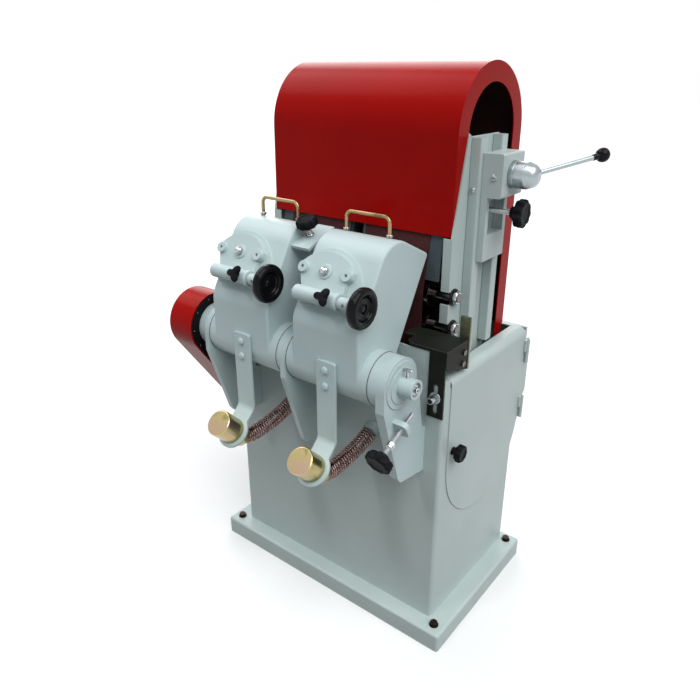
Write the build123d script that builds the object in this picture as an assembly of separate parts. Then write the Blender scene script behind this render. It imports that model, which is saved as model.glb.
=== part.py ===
import os
from math import acos, atan2, cos, radians, sin, sqrt, tan

from build123d import *

os.makedirs("parts", exist_ok=True)

# All sizes are in millimetres. X is the direction the stock is fed, Y points to the back, Z is up,
# and the origin is the middle of the base on the floor.
base_margin = 54.0
base_depth = 512.0
base_height = 56.0
base_wall = 4.0
base_lip = 70.0
base_round = 8.0
floor_bolt_inset = 32.0
floor_bolt_radius = 6.0

cabinet_width = 722.0
cabinet_front = -208.0
cabinet_rear_low = 225.0
cabinet_rear_high = 262.0
cabinet_top = 790.0
cabinet_step_drops = (375.0, 285.0)
cabinet_sheet = 3.0
cabinet_bend = 10.0
cabinet_side = 47.0
cabinet_opening_side = 34.0
cabinet_opening_front = -150.0
cabinet_opening_rear = 238.0
dust_height = 250.0
dust_radius = 60.0
dust_length = 60.0

door_front = -174.0
door_radius = 212.0
door_drop = 262.0
door_sheet = 2.5
door_gap = 0.3
door_lap = 12.0
door_bend = 22.0
door_hinge_side = 8.5
door_hinge_rear = 7.0
hinge_drops = (74.0, 257.0)
hinge_length = 72.0
hinge_radius = 5.5
hinge_pin_radius = 3.0
door_knob_drop = 214.0
door_knob_inset = 24.0
door_knob_radius = 24.0

pivot_y = -324.0
pivot_rise = 27.0
hub_radius = 66.0
hub_bore = 46.05
spigot_clearance = 0.05
spigot_length = 14.0
collar_middle = 32.0
collar_end = 48.0
bracket_web = 24.0
inner_web = 16.0
inner_web_gap = 4.0
left_hub_step = 5.0
end_clearance = 1.0
running_clearance = 0.05
feed_shaft_radius = 15.0
boss_radius = 24.5
boss_length = 42.0
boss_screw_place = 17.0

hub_reach = 24.0
casing_wall = 8.0
casing_edge = 7.0
casing_rear_round = 9.0
slope_rise = 150.0
slope_angle = 30.0
peak_y = -271.6
casing_rear_y = -110.0
casing_rear_rise = 277.0
crest_radius = 75.0
swivel_offset = -30.0
swivel_up = 120.0
ear_spacing = 64.5
ear_radius = 13.5
ear_rise = 9.0
arc_up = 71.0
arc_radius = 98.0
swivel_thickness = 12.0
pad_radius = 109.0
pad_low = 40.0
pad_height = 4.0
spindle_radius = 10.0
tube_up = 58.0
tube_out = 31.0
tube_radius = 18.0
tube_left = 81.0
tube_right = 46.0
wheel_shaft_radius = 7.0
handwheel_radius = 50.0
handwheel_gap = 1.5
lock_knob_offset = 17.0
lock_screw_radius = 5.0
lock_screw_reach = 12.5
handle_half_span = 63.0
handle_y = -225.0
handle_rise = 384.0
handle_wire = 4.5

feed_wheel_depth = 145.0
feed_wheel_radius = 62.0
feed_wheel_half = 46.0
fork_thickness = 7.0
feed_axle_radius = 8.0
head_belt_inset = 50.0
head_belt_room = 2.0
head_belt_width = 18.0
shaft_pulley_radius = 36.0
wheel_pulley_radius = 28.0
head_belt_thickness = 4.0

strap_offset = 10.0
strap_width = 57.0
strap_thickness = 8.0
strap_rise = 66.0
strap_drop = 147.0
strap_reach = 75.0
ring_radius = 41.0
cup_radius = 35.0
cup_length = 64.0
cup_neck = 22.0
cup_back = 24.0
spring_radius = 22.5
spring_wire = 5.0
spring_knee_radius = 70.0
spring_end_angle = 22.0
seat_radius = 24.0
seat_reach = 14.0

belt_inner = 30.0
belt_side = 61.5
belt_thickness = 1.5
belt_gap = 0.3
upper_roller_y = 38.0
upper_roller_rise = 460.0
upper_roller_radius = 90.0
contact_y = -70.0
contact_rises = (165.0, 82.0)
contact_radius = 38.0
contact_axle_radius = 12.0
contact_sleeve_radius = 16.0
contact_overhang = 12.0
drum_y = 28.0
drum_drop = 262.0
drum_radius = 125.0
drum_shaft_radius = 20.0
drum_pulley_radius = 70.0
roller_rim = 10.0
roller_hub = 30.0
roller_web = 12.0
motor_y = 20.0
motor_z = 175.0
motor_radius = 88.0
motor_pulley_radius = 50.0
motor_shaft_radius = 12.0

frame_plate_inner = 16.0
frame_plate_thickness = 6.0
frame_rise = 320.0
beam_drop = 100.0
beam_height = 80.0
column_gap = 0.5
column_thickness = 4.0
column_front = -93.0
column_rear = 110.0
column_rise = 546.0
column_flange = 23.5
bar_depth = 26.5
bar_width = 30.0
bar_spacing = 108.0

hood_rise = 317.0
hood_side = 72.0
hood_sheet = 3.0
hood_room = 75.0
hood_back = 42.0
hood_up = 85.0
hood_belt_gap = 5.9
hood_rim = 47.0

slide_thickness = 17.0
slide_half = 56.0
slide_drop = 210.0
slide_above = 50.0
slide_box_drop = 52.0
slide_box_depth = 35.0
slide_travel = 20.0
tracking_drop = 90.0
tracking_knob_radius = 35.0
lever_hub_radius = 32.5
lever_hub_length = 66.0
lever_hub_round = 30.0
lever_root = 44.0
lever_reach = (143.7, 183.0, 37.5)
lever_ball_radius = 18.0
lever_rod_radius = 7.0

guard_reach = 49.0
guard_gap = 2.0
guard_radius = 89.0
guard_low_radius = 62.0
guard_sheet = 3.0
feed_motor_y = -150.0
feed_motor_drop = 270.0
feed_pulley_radius = 60.0
feed_motor_pulley_radius = 40.0
feed_motor_size = 92.0

rest_overhang = 5.0
rest_reach = 71.0
rest_corner_cut = 16.0
rest_wing = 31.0
rest_wing_depth = 52.0
rest_wing_gap = 3.0
rest_front = -212.3
rest_rear = -110.0
rest_rise = 82.0
rest_sheet = 4.0
rest_plate = 6.0
rest_end_drop = 78.0
guide_width = 28.0
guide_sheet = 6.0
guide_rise = 56.0
rest_leg_side = 4.0
rest_leg_drop = 98.0
rest_slot_drops = (86.0, 8.0)
rest_slot_half = 6.0
rest_stud_drop = 43.0
rest_stud_radius = 5.0

adjuster_side = 18.0
adjuster_lug_y = -340.0
adjuster_drop = 72.0
adjuster_tilt = 26.0
adjuster_rod_radius = 6.0
adjuster_knob_radius = 34.0

tab_tilt = 20.0
tab_front_y = -293.0
tab_rise = 282.0
tab_length = 105.0
tab_thickness = 8.0
tab_right = 16.0
stop_knob_place = -19.0
stop_knob_lift = 26.0
stop_knob_radius = 28.0
stop_knob_thickness = 24.0

# Places and sizes worked out from the sizes above, first across the machine, then upwards.
cabinet_half = cabinet_width / 2
base_width = cabinet_width + 2 * base_margin
cabinet_opening_half = cabinet_half - cabinet_opening_side
bracket_face = cabinet_half - cabinet_side
bracket_end = bracket_face - collar_end
head_width = bracket_end - collar_middle / 2 - 2 * end_clearance
head_offset = collar_middle / 2 + end_clearance + head_width / 2
casing_half = head_width / 2 - hub_reach
handwheel_start = casing_half + handwheel_gap
head_belt_start = casing_half - head_belt_inset
hood_half = cabinet_half - hood_side
column_inner = hood_half + column_gap
belt_outer = column_inner - belt_side
bar_outer = column_inner + column_thickness + bar_depth
slide_inner = bar_outer + 0.3
slide_face = slide_inner + slide_thickness
box_face = slide_face + slide_box_depth
guard_outer_x = -cabinet_half - guard_reach
guard_inner_x = -bracket_face - guard_gap
rest_right = cabinet_half + rest_overhang
rest_leg_left = bracket_face + rest_leg_side
rest_left = rest_leg_left - rest_reach
adjuster_x = bracket_face + adjuster_side
door_inner_x = cabinet_half + door_gap
door_outer_x = door_inner_x + door_sheet
hinge_x = cabinet_half + door_hinge_side

door_centre_y = door_front + door_radius
door_rear = door_centre_y + door_radius
hinge_y = door_rear + door_hinge_rear
casing_front = pivot_y - hub_radius
hood_centre_y = upper_roller_y + hood_back
hood_radius = upper_roller_radius + hood_room

cabinet_step_low = cabinet_top - cabinet_step_drops[0]
cabinet_step_high = cabinet_top - cabinet_step_drops[1]
door_centre_height = cabinet_top - door_drop
hinge_heights = [cabinet_top - drop for drop in hinge_drops]
door_knob_height = cabinet_top - door_knob_drop
pivot_z = cabinet_top + pivot_rise
slope_start_z = cabinet_top + slope_rise
slope_up = (sin(radians(slope_angle)), cos(radians(slope_angle)))
slope_out = (-slope_up[1], slope_up[0])
peak_z = slope_start_z + (peak_y - casing_front) * slope_up[1] / slope_up[0]
casing_rear_z = cabinet_top + casing_rear_rise
handle_top = cabinet_top + handle_rise
strap_top = cabinet_top + strap_rise
strap_bend_z = cabinet_top - strap_drop
upper_roller_z = cabinet_top + upper_roller_rise
contact_heights = [cabinet_top + rise for rise in contact_rises]
drum_z = cabinet_top - drum_drop
frame_top = cabinet_top + frame_rise
beam_low = cabinet_top - beam_drop
beam_high = beam_low + beam_height
column_top = cabinet_top + column_rise
hood_bottom = cabinet_top + hood_rise
hood_centre_z = upper_roller_z + hood_up
slide_low = upper_roller_z - slide_drop
slide_high = upper_roller_z + slide_above
slide_box_low = upper_roller_z - slide_box_drop
tracking_z = upper_roller_z - tracking_drop
lever_ball = (box_face + lever_reach[0], upper_roller_y + lever_reach[1], upper_roller_z + lever_reach[2])
feed_motor_z = cabinet_top - feed_motor_drop
rest_top = cabinet_top + rest_rise
rest_leg_low = cabinet_top - rest_leg_drop
rest_slot_low = cabinet_top - rest_slot_drops[0]
rest_slot_high = cabinet_top - rest_slot_drops[1]
rest_stud_z = cabinet_top - rest_stud_drop
adjuster_lug = (adjuster_lug_y, cabinet_top - adjuster_drop)
tab_front = (tab_front_y, cabinet_top + tab_rise)


def block(x0, x1, y0, y1, z0, z1):
    centre = Pos((x0 + x1) / 2, (y0 + y1) / 2, (z0 + z1) / 2)
    return centre * Box(x1 - x0, y1 - y0, z1 - z0)


def polygon(points):
    return make_face(Polyline(*points, close=True))


def prism(sketch, x0, x1):
    """Extrude a sketch drawn in (y, z) from x0 to x1."""
    return extrude(Plane.YZ.offset(x0) * sketch, amount=x1 - x0)


def disc(y, z, radius, x0, x1):
    return prism(Pos(y, z) * Circle(radius), x0, x1)


def rod(start, direction, radius, length):
    return extrude(Plane(origin=start, z_dir=direction) * Circle(radius), amount=length)


def hex_rod(start, direction, flats, length):
    shape = RegularPolygon(flats / 2, 6, major_radius=False)
    return extrude(Plane(origin=start, z_dir=direction) * shape, amount=length)


def wrap(circles, extra):
    """Outline of a belt or cover round circles given as (y, z, radius)."""
    return make_hull([(Pos(y, z) * Circle(r + extra)).edge() for y, z, r in circles])


def loop(circles, x0, x1, thickness):
    outer = prism(wrap(circles, belt_gap + thickness), x0, x1)
    return outer - prism(wrap(circles, belt_gap), x0, x1)


def lobed(plane, radius, lobes, thickness, edge):
    """A hand knob: a core with round lobes, all its edges rounded."""
    lobe = radius * (0.36 if lobes < 5 else 0.24)
    sketch = Circle(radius * (0.62 if lobes < 5 else 0.82))
    for turn in range(lobes):
        angle = radians(360 / lobes * turn)
        sketch += Pos((radius - lobe) * cos(angle), (radius - lobe) * sin(angle)) * Circle(lobe)
    sketch = fillet(sketch.vertices(), radius * 0.08)
    knob = extrude(sketch, amount=thickness)
    return plane * fillet(knob.faces().filter_by(Axis.Z).edges(), edge)


def mirrored(shape):
    return mirror(shape, about=Plane.YZ)


def keep(name, *shapes):
    solids = [solid for shape in shapes for solid in shape.solids()]
    export_step(solids[0] if len(solids) == 1 else Compound(children=solids), f"parts/{name}.step")


def floor_bolt_places():
    across = base_width / 2 - floor_bolt_inset
    along = base_depth / 2 - floor_bolt_inset
    return [(x, y) for x in (-across, across) for y in (-along, along)]


def base_tray():
    half_x = base_width / 2
    half_y = base_depth / 2
    tray = block(-half_x, half_x, -half_y, half_y, 0, base_height)
    tray = fillet(tray.edges().filter_by(Axis.Z) + tray.faces().sort_by(Axis.Z)[-1].edges(), base_round)
    wall = base_wall
    tray -= block(wall - half_x, half_x - wall, wall - half_y, half_y - wall, wall, base_height - wall)
    lip = base_lip
    tray -= block(lip - half_x, half_x - lip, lip - half_y, half_y - lip, -1, wall + 1)
    for x, y in floor_bolt_places():
        tray -= rod((x, y, -1), (0, 0, 1), floor_bolt_radius + 0.5, base_height + 2)
    return tray


def floor_bolts():
    bolts = []
    for x, y in floor_bolt_places():
        bolt = rod((x, y, 2), (0, 0, 1), floor_bolt_radius, base_height)
        bolt += rod((x, y, base_height), (0, 0, 1), floor_bolt_radius * 2.2, 2.5)
        bolt += hex_rod((x, y, base_height + 2), (0, 0, 1), floor_bolt_radius * 3.1, 9)
        bolts.append(bolt)
    return bolts


def cabinet_section(inset):
    lean = (cabinet_rear_high - cabinet_rear_low) / (cabinet_step_high - cabinet_step_low)
    shift = inset * (sqrt(1 + lean * lean) - 1) / lean
    return polygon(
        [
            (cabinet_front + inset, base_height - inset),
            (cabinet_rear_low - inset, base_height - inset),
            (cabinet_rear_low - inset, cabinet_step_low + shift),
            (cabinet_rear_high - inset, cabinet_step_high + shift),
            (cabinet_rear_high - inset, cabinet_top - inset),
            (cabinet_front + inset, cabinet_top - inset),
        ]
    )


def cabinet_block(inset):
    half = cabinet_half - inset
    shape = prism(cabinet_section(inset), -half, half)
    corners = shape.edges().filter_by(Axis.Z).group_by(Axis.Y)[0]
    return fillet(corners, cabinet_bend - inset)


def door_outline(inset, top):
    """The door's shape in (y, z): straight sides and a round bottom."""
    radius = door_radius - inset
    rise = top - door_centre_height
    sides = Pos(door_centre_y, door_centre_height + rise / 2) * Rectangle(2 * radius, rise)
    return sides + Pos(door_centre_y, door_centre_height) * Circle(radius)


def spring_start():
    """Where the spring leaves its cup, in (y, z)."""
    y, z = ring_centre()
    step = (cup_back + belt_gap) * sin(radians(45))
    return y + step, z - step


def spring_knee():
    """Centre of the spring's tight first bend in (y, z); right below it the spring runs level."""
    y, z = spring_start()
    step = spring_knee_radius * sin(radians(45))
    return y + step, z + step


def spring_end():
    """Radius of the spring's long second bend, and the spring's last point in (y, z)."""
    y, z = spring_knee()
    end_y = cabinet_front - seat_reach
    angle = radians(spring_end_angle)
    radius = (end_y - y) / sin(angle)
    return radius, end_y, z - spring_knee_radius + radius * (1 - cos(angle))


def ring_centre():
    drop = strap_reach * sin(radians(45))
    return casing_front - 0.2 - strap_thickness / 2 - drop, strap_bend_z - drop


def spring_seat(x):
    _, y, z = spring_end()
    angle = radians(spring_end_angle)
    along = (0, cos(angle), sin(angle))
    seat = rod((x, y + belt_gap * along[1], z + belt_gap * along[2]), along, seat_radius, 60)
    seat += rod((x, y - 16 * along[1], z - 16 * along[2]), along, spring_radius - spring_wire - 2, 40)
    return seat - block(x - 100, x + 100, cabinet_front + 1, 100, z - 200, z + 300)


def cabinet():
    body = cabinet_block(0) - cabinet_block(cabinet_sheet)
    inner = cabinet_half - cabinet_sheet
    body -= block(-inner, inner, cabinet_front + cabinet_sheet + 8, cabinet_rear_low - cabinet_sheet,
                  base_height - 1, base_height + 10)
    half = cabinet_opening_half
    low, high = cabinet_top - 9, cabinet_top + 9
    body -= block(-half, half + 1, cabinet_opening_front, cabinet_opening_rear, low, high)
    body -= block(half - 0.5, cabinet_half + 1, door_front - 4, door_rear + 1,
                  cabinet_top - door_bend - 4, cabinet_top + 9)
    body -= prism(door_outline(door_lap, cabinet_top + 9), cabinet_half - 9, cabinet_half + 9)
    for side in (-1, 1):
        body += spring_seat(side * head_offset + strap_offset)
    body += rod((0, cabinet_rear_low - 1, dust_height), (0, 1, 0), dust_radius, dust_length + 1)
    body -= rod((0, cabinet_rear_low - 9, dust_height), (0, 1, 0), dust_radius - 3, dust_length + 20)
    strip = polygon(
        [
            (cabinet_rear_high - 1, cabinet_top - 230),
            (cabinet_rear_high + 18, cabinet_top - 230),
            (cabinet_rear_high + 30, cabinet_top - 218),
            (cabinet_rear_high + 30, cabinet_top - 52),
            (cabinet_rear_high + 18, cabinet_top - 40),
            (cabinet_rear_high - 1, cabinet_top - 40),
        ]
    )
    body += prism(strip, cabinet_half - cabinet_sheet, cabinet_half)
    for height in hinge_heights:
        low = height - hinge_length / 2
        body += block(cabinet_half - 1, hinge_x, hinge_y - 3, hinge_y + 3, low, height - 0.3)
        body += rod((hinge_x, hinge_y, low), (0, 0, 1), hinge_radius, hinge_length / 2 - 0.3)
        body += rod((hinge_x, hinge_y, low), (0, 0, 1), hinge_pin_radius, hinge_length - 4)
    body -= disc(feed_motor_y, feed_motor_z, motor_shaft_radius + 3, -cabinet_half - 9, -cabinet_half + 9)
    return body


def door():
    top_low = cabinet_top - door_bend - 30
    panel = prism(door_outline(0, top_low), door_inner_x, door_outer_x)
    corner = (door_outer_x, cabinet_top)
    inner = (door_inner_x, cabinet_top - door_sheet)
    section = polygon(
        [
            (cabinet_opening_half, cabinet_top),
            corner,
            (door_outer_x, top_low),
            (door_inner_x, top_low),
            inner,
            (cabinet_opening_half, cabinet_top - door_sheet),
        ]
    )
    for point, radius in ((corner, door_bend), (inner, door_bend - door_sheet)):
        section = fillet(section.vertices().sort_by_distance((*point, 0))[0], radius)
    flange = extrude(Plane.XZ.offset(-door_front) * section, amount=door_front - door_rear)
    panel += flange
    for height in hinge_heights:
        high = height + hinge_length / 2
        panel += block(door_inner_x, hinge_x, hinge_y - 16, hinge_y, height + 0.3, high)
        panel += rod((hinge_x, hinge_y, height + 0.3), (0, 0, 1), hinge_radius, hinge_length / 2 - 0.3)
        bore = hinge_pin_radius + running_clearance
        panel -= rod((hinge_x, hinge_y, height), (0, 0, 1), bore, hinge_length)
    y = door_front + door_knob_inset
    panel -= disc(y, door_knob_height, 5 + running_clearance, door_inner_x - 5, door_outer_x + 5)
    return panel


def door_knob():
    y = door_front + door_knob_inset
    z = door_knob_height
    face = door_outer_x + 0.3
    knob = lobed(Plane(origin=(face + 12, y, z), z_dir=(1, 0, 0)), door_knob_radius, 7, 20, 4)
    knob += disc(y, z, 11, face, face + 13)
    tongue_x = cabinet_half - cabinet_sheet - 1
    knob += disc(y, z, 5, tongue_x - 6, face + 13)
    knob += block(tongue_x - 5, tongue_x, y - 8, y + 8, z - 8, z + 30)
    return knob


def bracket_web_outline():
    foot = cabinet_front
    web = polygon(
        [
            (pivot_y - hub_radius, pivot_z),
            (pivot_y - hub_radius, pivot_z - 51),
            (pivot_y - 33, pivot_z - 155),
            (pivot_y, pivot_z - 257),
            (pivot_y + 12, pivot_z - 272),
            (foot, pivot_z - 289),
            (foot, pivot_z - 161),
            (foot - 14, pivot_z - 161),
            (pivot_y + 84, pivot_z - 62),
            (pivot_y + 62, pivot_z - 17),
            (pivot_y, pivot_z),
        ]
    )
    return web + Pos(pivot_y, pivot_z) * Circle(hub_radius)


def spigot(x0, x1):
    return disc(pivot_y, pivot_z, hub_bore - spigot_clearance, x0, x1)


def shaft_bore(x0, x1):
    return disc(pivot_y, pivot_z, feed_shaft_radius + running_clearance, x0, x1)


def end_bracket(web_start, web, outer_radius):
    """An end bracket on the right-hand side, without its fittings."""
    shape = prism(bracket_web_outline(), web_start, web_start + web)
    shape += disc(pivot_y, pivot_z, hub_radius, bracket_end, web_start + 1)
    shape += disc(pivot_y, pivot_z, outer_radius, web_start, bracket_face)
    shape += spigot(bracket_end - spigot_length, bracket_end + 1)
    return shape


def middle_bracket():
    half = collar_middle / 2
    web_end = half - inner_web_gap
    shape = prism(bracket_web_outline(), web_end - inner_web, web_end)
    shape += disc(pivot_y, pivot_z, hub_radius, -half, half)
    shape += spigot(-half - spigot_length, half + spigot_length)
    return shape - shaft_bore(-head_width, head_width)


def adjuster_point(distance):
    """A point on the adjuster's axis, measured forwards from its lug."""
    y, z = adjuster_lug
    tilt = radians(adjuster_tilt)
    return adjuster_x, y - distance * cos(tilt), z - distance * sin(tilt)


def adjuster_axis():
    return 0, -cos(radians(adjuster_tilt)), -sin(radians(adjuster_tilt))


def right_bracket():
    shape = end_bracket(bracket_face - bracket_web, bracket_web, hub_radius)
    for step in (0, 1):
        ring = disc(pivot_y, pivot_z, hub_radius - 8 - 14 * step, bracket_face, bracket_face + 2 + 2 * step)
        shape += ring
    shape += disc(pivot_y, pivot_z, boss_radius, bracket_face, bracket_face + boss_length)
    boss_end = bracket_face + boss_length
    shape -= disc(pivot_y, pivot_z, boss_radius - 7, boss_end - 10, boss_end + 5)
    shape -= shaft_bore(bracket_end - 99, bracket_face + 99)
    plane = Plane(origin=adjuster_point(-7), x_dir=(1, 0, 0), z_dir=adjuster_axis())
    reach = adjuster_x + 18 - bracket_face
    lug = extrude(plane * (Pos(18 - reach / 2, 0) * Rectangle(reach, 40)), amount=14)
    lug = fillet(lug.edges().filter_by(Axis((0, 0, 0), adjuster_axis())).group_by(Axis.X)[-1], 12)
    shape += lug
    shape -= rod(adjuster_point(-20), adjuster_axis(), adjuster_rod_radius + running_clearance, 40)
    shape -= rod((bracket_face + boss_screw_place, pivot_y, pivot_z), (0, 0, 1), 4 + running_clearance, 60)
    return shape


def left_bracket():
    shape = end_bracket(bracket_end + inner_web_gap, inner_web, hub_radius - left_hub_step)
    return mirrored(shape) - shaft_bore(-bracket_face - 9, -bracket_end + 99)


def adjuster():
    shape = rod(adjuster_point(-46), adjuster_axis(), adjuster_rod_radius, 130)
    for start in (60, 71):
        shape += hex_rod(adjuster_point(start), adjuster_axis(), 19, 9)
    plane = Plane(origin=adjuster_point(88), z_dir=adjuster_axis())
    shape += rod(adjuster_point(78), adjuster_axis(), 15, 12)
    return shape + lobed(plane, adjuster_knob_radius, 7, 24, 5)


def boss_screw():
    x = bracket_face + boss_screw_place
    bottom = pivot_z + feed_shaft_radius + 1
    shape = rod((x, pivot_y, bottom), (0, 0, 1), 4, boss_radius + 2.5)
    return shape + rod((x - 11, pivot_y, bottom + boss_radius + 2.5), (1, 0, 0), 4, 22)


def feed_shaft():
    shape = disc(pivot_y, pivot_z, feed_shaft_radius, guard_outer_x + 10, bracket_face + boss_length - 6)
    for side in (-1, 1):
        start = side * head_offset + head_belt_start
        shape += disc(pivot_y, pivot_z, shaft_pulley_radius, start, start + head_belt_width)
    return shape + disc(pivot_y, pivot_z, feed_pulley_radius, guard_outer_x + 12, guard_outer_x + 36)


def feed_circles():
    return [(pivot_y, pivot_z, feed_pulley_radius), (feed_motor_y, feed_motor_z, feed_motor_pulley_radius)]


def feed_drive_belt():
    return loop(feed_circles(), guard_outer_x + 14, guard_outer_x + 34, 6)


def feed_motor_pulley():
    y, z = feed_motor_y, feed_motor_z
    start = guard_outer_x + 12
    shape = disc(y, z, feed_motor_pulley_radius, start, start + 24)
    return shape + disc(y, z, motor_shaft_radius, start, -cabinet_half + 25)


def feed_motor():
    wall = -cabinet_half + cabinet_sheet
    half = feed_motor_size / 2
    shape = block(wall, wall + feed_motor_size, feed_motor_y - half, feed_motor_y + half,
                  feed_motor_z - half, feed_motor_z + half)
    shape = fillet(shape.edges().filter_by(Axis.X), 8)
    middle = wall + feed_motor_size / 2
    shape += rod((middle, feed_motor_y, feed_motor_z - half + 1), (0, 0, -1), half - 10, 120)
    bore = motor_shaft_radius + running_clearance
    return shape - disc(feed_motor_y, feed_motor_z, bore, wall - 9, -cabinet_half + 30)


def guard_circles():
    return [(pivot_y, pivot_z, guard_radius), (feed_motor_y, feed_motor_z, guard_low_radius)]


def beside_cabinet():
    """The room taken by the cabinet's left front corner, as seen by the guard."""
    return block(-cabinet_half - 0.3, 0, cabinet_front - 0.3, 400, 0, 2000)


def guard_cover():
    shape = prism(wrap(guard_circles(), 0), guard_outer_x, guard_inner_x)
    outer = shape.faces().sort_by(Axis.X)[0]
    shape = fillet(outer.edges(), 6)
    shape -= prism(wrap(guard_circles(), -guard_sheet), guard_outer_x + guard_sheet, guard_inner_x + 9)
    return shape - beside_cabinet()


def guard_back_plate():
    shape = prism(wrap(guard_circles(), -guard_sheet - 0.5), -bracket_face - 3, -bracket_face)
    shape -= disc(pivot_y, pivot_z, feed_shaft_radius + 5, -bracket_face - 9, -bracket_face + 9)
    return shape - beside_cabinet()


def slope_point(x, up, out):
    y = casing_front + up * slope_up[0] + out * slope_out[0]
    z = slope_start_z + up * slope_up[1] + out * slope_out[1]
    return x, y, z


def slope_normal():
    return 0, slope_out[0], slope_out[1]


def slope_plane(x, up, out):
    return Plane(origin=slope_point(x, up, out), x_dir=(1, 0, 0), z_dir=slope_normal())


def casing_tangent():
    """Where the casing's rear edge touches the hub, in (y, z)."""
    dy = casing_rear_y - pivot_y
    dz = casing_rear_z - pivot_z
    angle = atan2(dz, dy) - acos(hub_radius / sqrt(dy * dy + dz * dz))
    return pivot_y + hub_radius * cos(angle), pivot_z + hub_radius * sin(angle)


def casing_outline():
    start = (casing_front, slope_start_z)
    peak = (peak_y, peak_z)
    rear = (casing_rear_y, casing_rear_z)
    sketch = polygon([(casing_front, pivot_z), start, peak, rear, casing_tangent(), (pivot_y, pivot_z)])
    for corner, radius in ((start, 60), (peak, crest_radius), (rear, casing_rear_round)):
        sketch = fillet(sketch.vertices().sort_by_distance((*corner, 0))[0], radius)
    return sketch + Pos(pivot_y, pivot_z) * Circle(hub_radius)


def mouth():
    """The open back of the casing in (y, z), along the straight rear edge."""
    ty, tz = casing_tangent()
    length = sqrt((ty - casing_rear_y) ** 2 + (tz - casing_rear_z) ** 2)
    along = ((ty - casing_rear_y) / length, (tz - casing_rear_z) / length)
    points = []
    for distance, depth in ((20, -30), (20, 30), (210, 30), (210, -30)):
        points.append(
            (
                casing_rear_y + along[0] * distance - along[1] * depth,
                casing_rear_z + along[1] * distance + along[0] * depth,
            )
        )
    return polygon(points)


def pad_outline():
    """The raised pad under the angle plate, about the centre of its arc, kept to the flat of the slope."""
    middle = (pad_radius + pad_low - arc_up) / 2
    window = Rectangle(2 * (casing_half - casing_edge), pad_radius - pad_low + arc_up)
    return Circle(pad_radius) & Pos(-swivel_offset, middle) * window


def head_casing(x):
    outline = casing_outline()
    shape = prism(outline, x - casing_half, x + casing_half)
    shape = fillet(shape.faces().filter_by(Axis.X).edges(), casing_edge)
    shape += disc(pivot_y, pivot_z, hub_radius, x - head_width / 2, x + head_width / 2)
    shape += extrude(slope_plane(x + swivel_offset, arc_up, pad_height - 30) * pad_outline(), amount=30)
    left = x - casing_half + casing_wall
    right = x + casing_half - casing_wall
    shape -= prism(offset(outline, amount=-casing_wall), left, right)
    shape -= prism(mouth(), left, right)
    shape -= disc(pivot_y, pivot_z, hub_bore, x - head_width, x + head_width)
    spindle_bore = Circle(spindle_radius + running_clearance)
    shape -= extrude(slope_plane(x + swivel_offset, swivel_up, -60) * spindle_bore, amount=90)
    for side in (-1, 1):
        shape -= rod((x + side * handle_half_span, handle_y, peak_z - 60), (0, 0, 1), handle_wire + 0.1, 90)
    room = belt_gap + head_belt_thickness + head_belt_room
    start = x + head_belt_start
    shape -= prism(wrap(head_belt_circles(), room), start, start + head_belt_width)
    for z in strap_bolt_heights():
        shape -= rod((x + strap_offset, casing_front - 9, z), (0, 1, 0), 5 + running_clearance, 16)
    return shape


def crest_z():
    """Height of the casing's crest where the handle stands."""
    lean = radians(90 - slope_angle)
    fall = atan2(peak_z - casing_rear_z, casing_rear_y - peak_y)
    back = crest_radius * tan((lean + fall) / 2)
    centre_y = peak_y - back * cos(lean) + crest_radius * sin(lean)
    centre_z = peak_z - back * sin(lean) - crest_radius * cos(lean)
    return centre_z + sqrt(crest_radius ** 2 - (handle_y - centre_y) ** 2)


def bow_handle(x):
    left = x - handle_half_span
    right = x + handle_half_span
    foot = crest_z() - casing_wall
    top = handle_top - handle_wire
    path = FilletPolyline(
        (left, handle_y, foot),
        (left, handle_y, top),
        (right, handle_y, top),
        (right, handle_y, foot),
        radius=16,
    )
    shape = sweep(Plane(origin=(left, handle_y, foot), z_dir=(0, 0, 1)) * Circle(handle_wire), path=path)
    for place in (left, right):
        shape += hex_rod((place, handle_y, crest_z() + 2.5), (0, 0, 1), 14, 6)
    return shape


def swivel_ear_places(x):
    centre = x + swivel_offset
    return centre - ear_spacing, centre + ear_spacing


def angle_plate_outline():
    """The plate seen square to the slope, about the swivel: an arc on top and a neck down to the tube."""
    reach = ear_spacing + ear_radius
    high = arc_up + arc_radius - swivel_up
    window = Pos(0, high / 2) * Rectangle(2 * reach, high)
    plate = Pos(0, arc_up - swivel_up) * Circle(arc_radius) & window
    neck = polygon(
        [
            (-ear_spacing - ear_radius, 0),
            (ear_spacing, 0),
            (tube_right - 8 - swivel_offset, tube_up - swivel_up),
            (2 - tube_left - swivel_offset, tube_up - swivel_up),
        ]
    )
    return plate + neck


def angle_plate(x):
    centre = x + swivel_offset
    mid = (tube_right - tube_left) / 2 - swivel_offset
    plate = slope_plane(centre, swivel_up, pad_height) * angle_plate_outline()
    shape = extrude(plate, amount=swivel_thickness)
    plate_top = pad_height + swivel_thickness
    rib = Pos(mid, tube_up - swivel_up) * Rectangle(tube_left + tube_right - 14, 24)
    shape += extrude(slope_plane(centre, swivel_up, plate_top - 1) * rib, amount=tube_out - plate_top + 1)
    for place in swivel_ear_places(x):
        ear = slope_point(place, swivel_up, pad_height)
        shape += rod(ear, slope_normal(), ear_radius, swivel_thickness + ear_rise)
    y, z = tube_axis()
    shape += disc(y, z, tube_radius, x - tube_left, x + tube_right)
    shape += disc(y, z, 6, x - tube_left - 12, x - tube_left + 1)
    shape -= disc(y, z, wheel_shaft_radius + running_clearance, x - tube_left + 20, x + tube_right + 9)
    shape -= rod(slope_point(centre, swivel_up, 0), slope_normal(), spindle_radius + running_clearance, 40)
    for place in swivel_ear_places(x):
        shape -= rod(slope_point(place, swivel_up, pad_height + 8), slope_normal(), 4, 40)
    hole = slope_point(x + lock_knob_offset, tube_up, tube_out)
    shape -= rod(hole, slope_normal(), lock_screw_radius + running_clearance, 40)
    return shape


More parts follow.
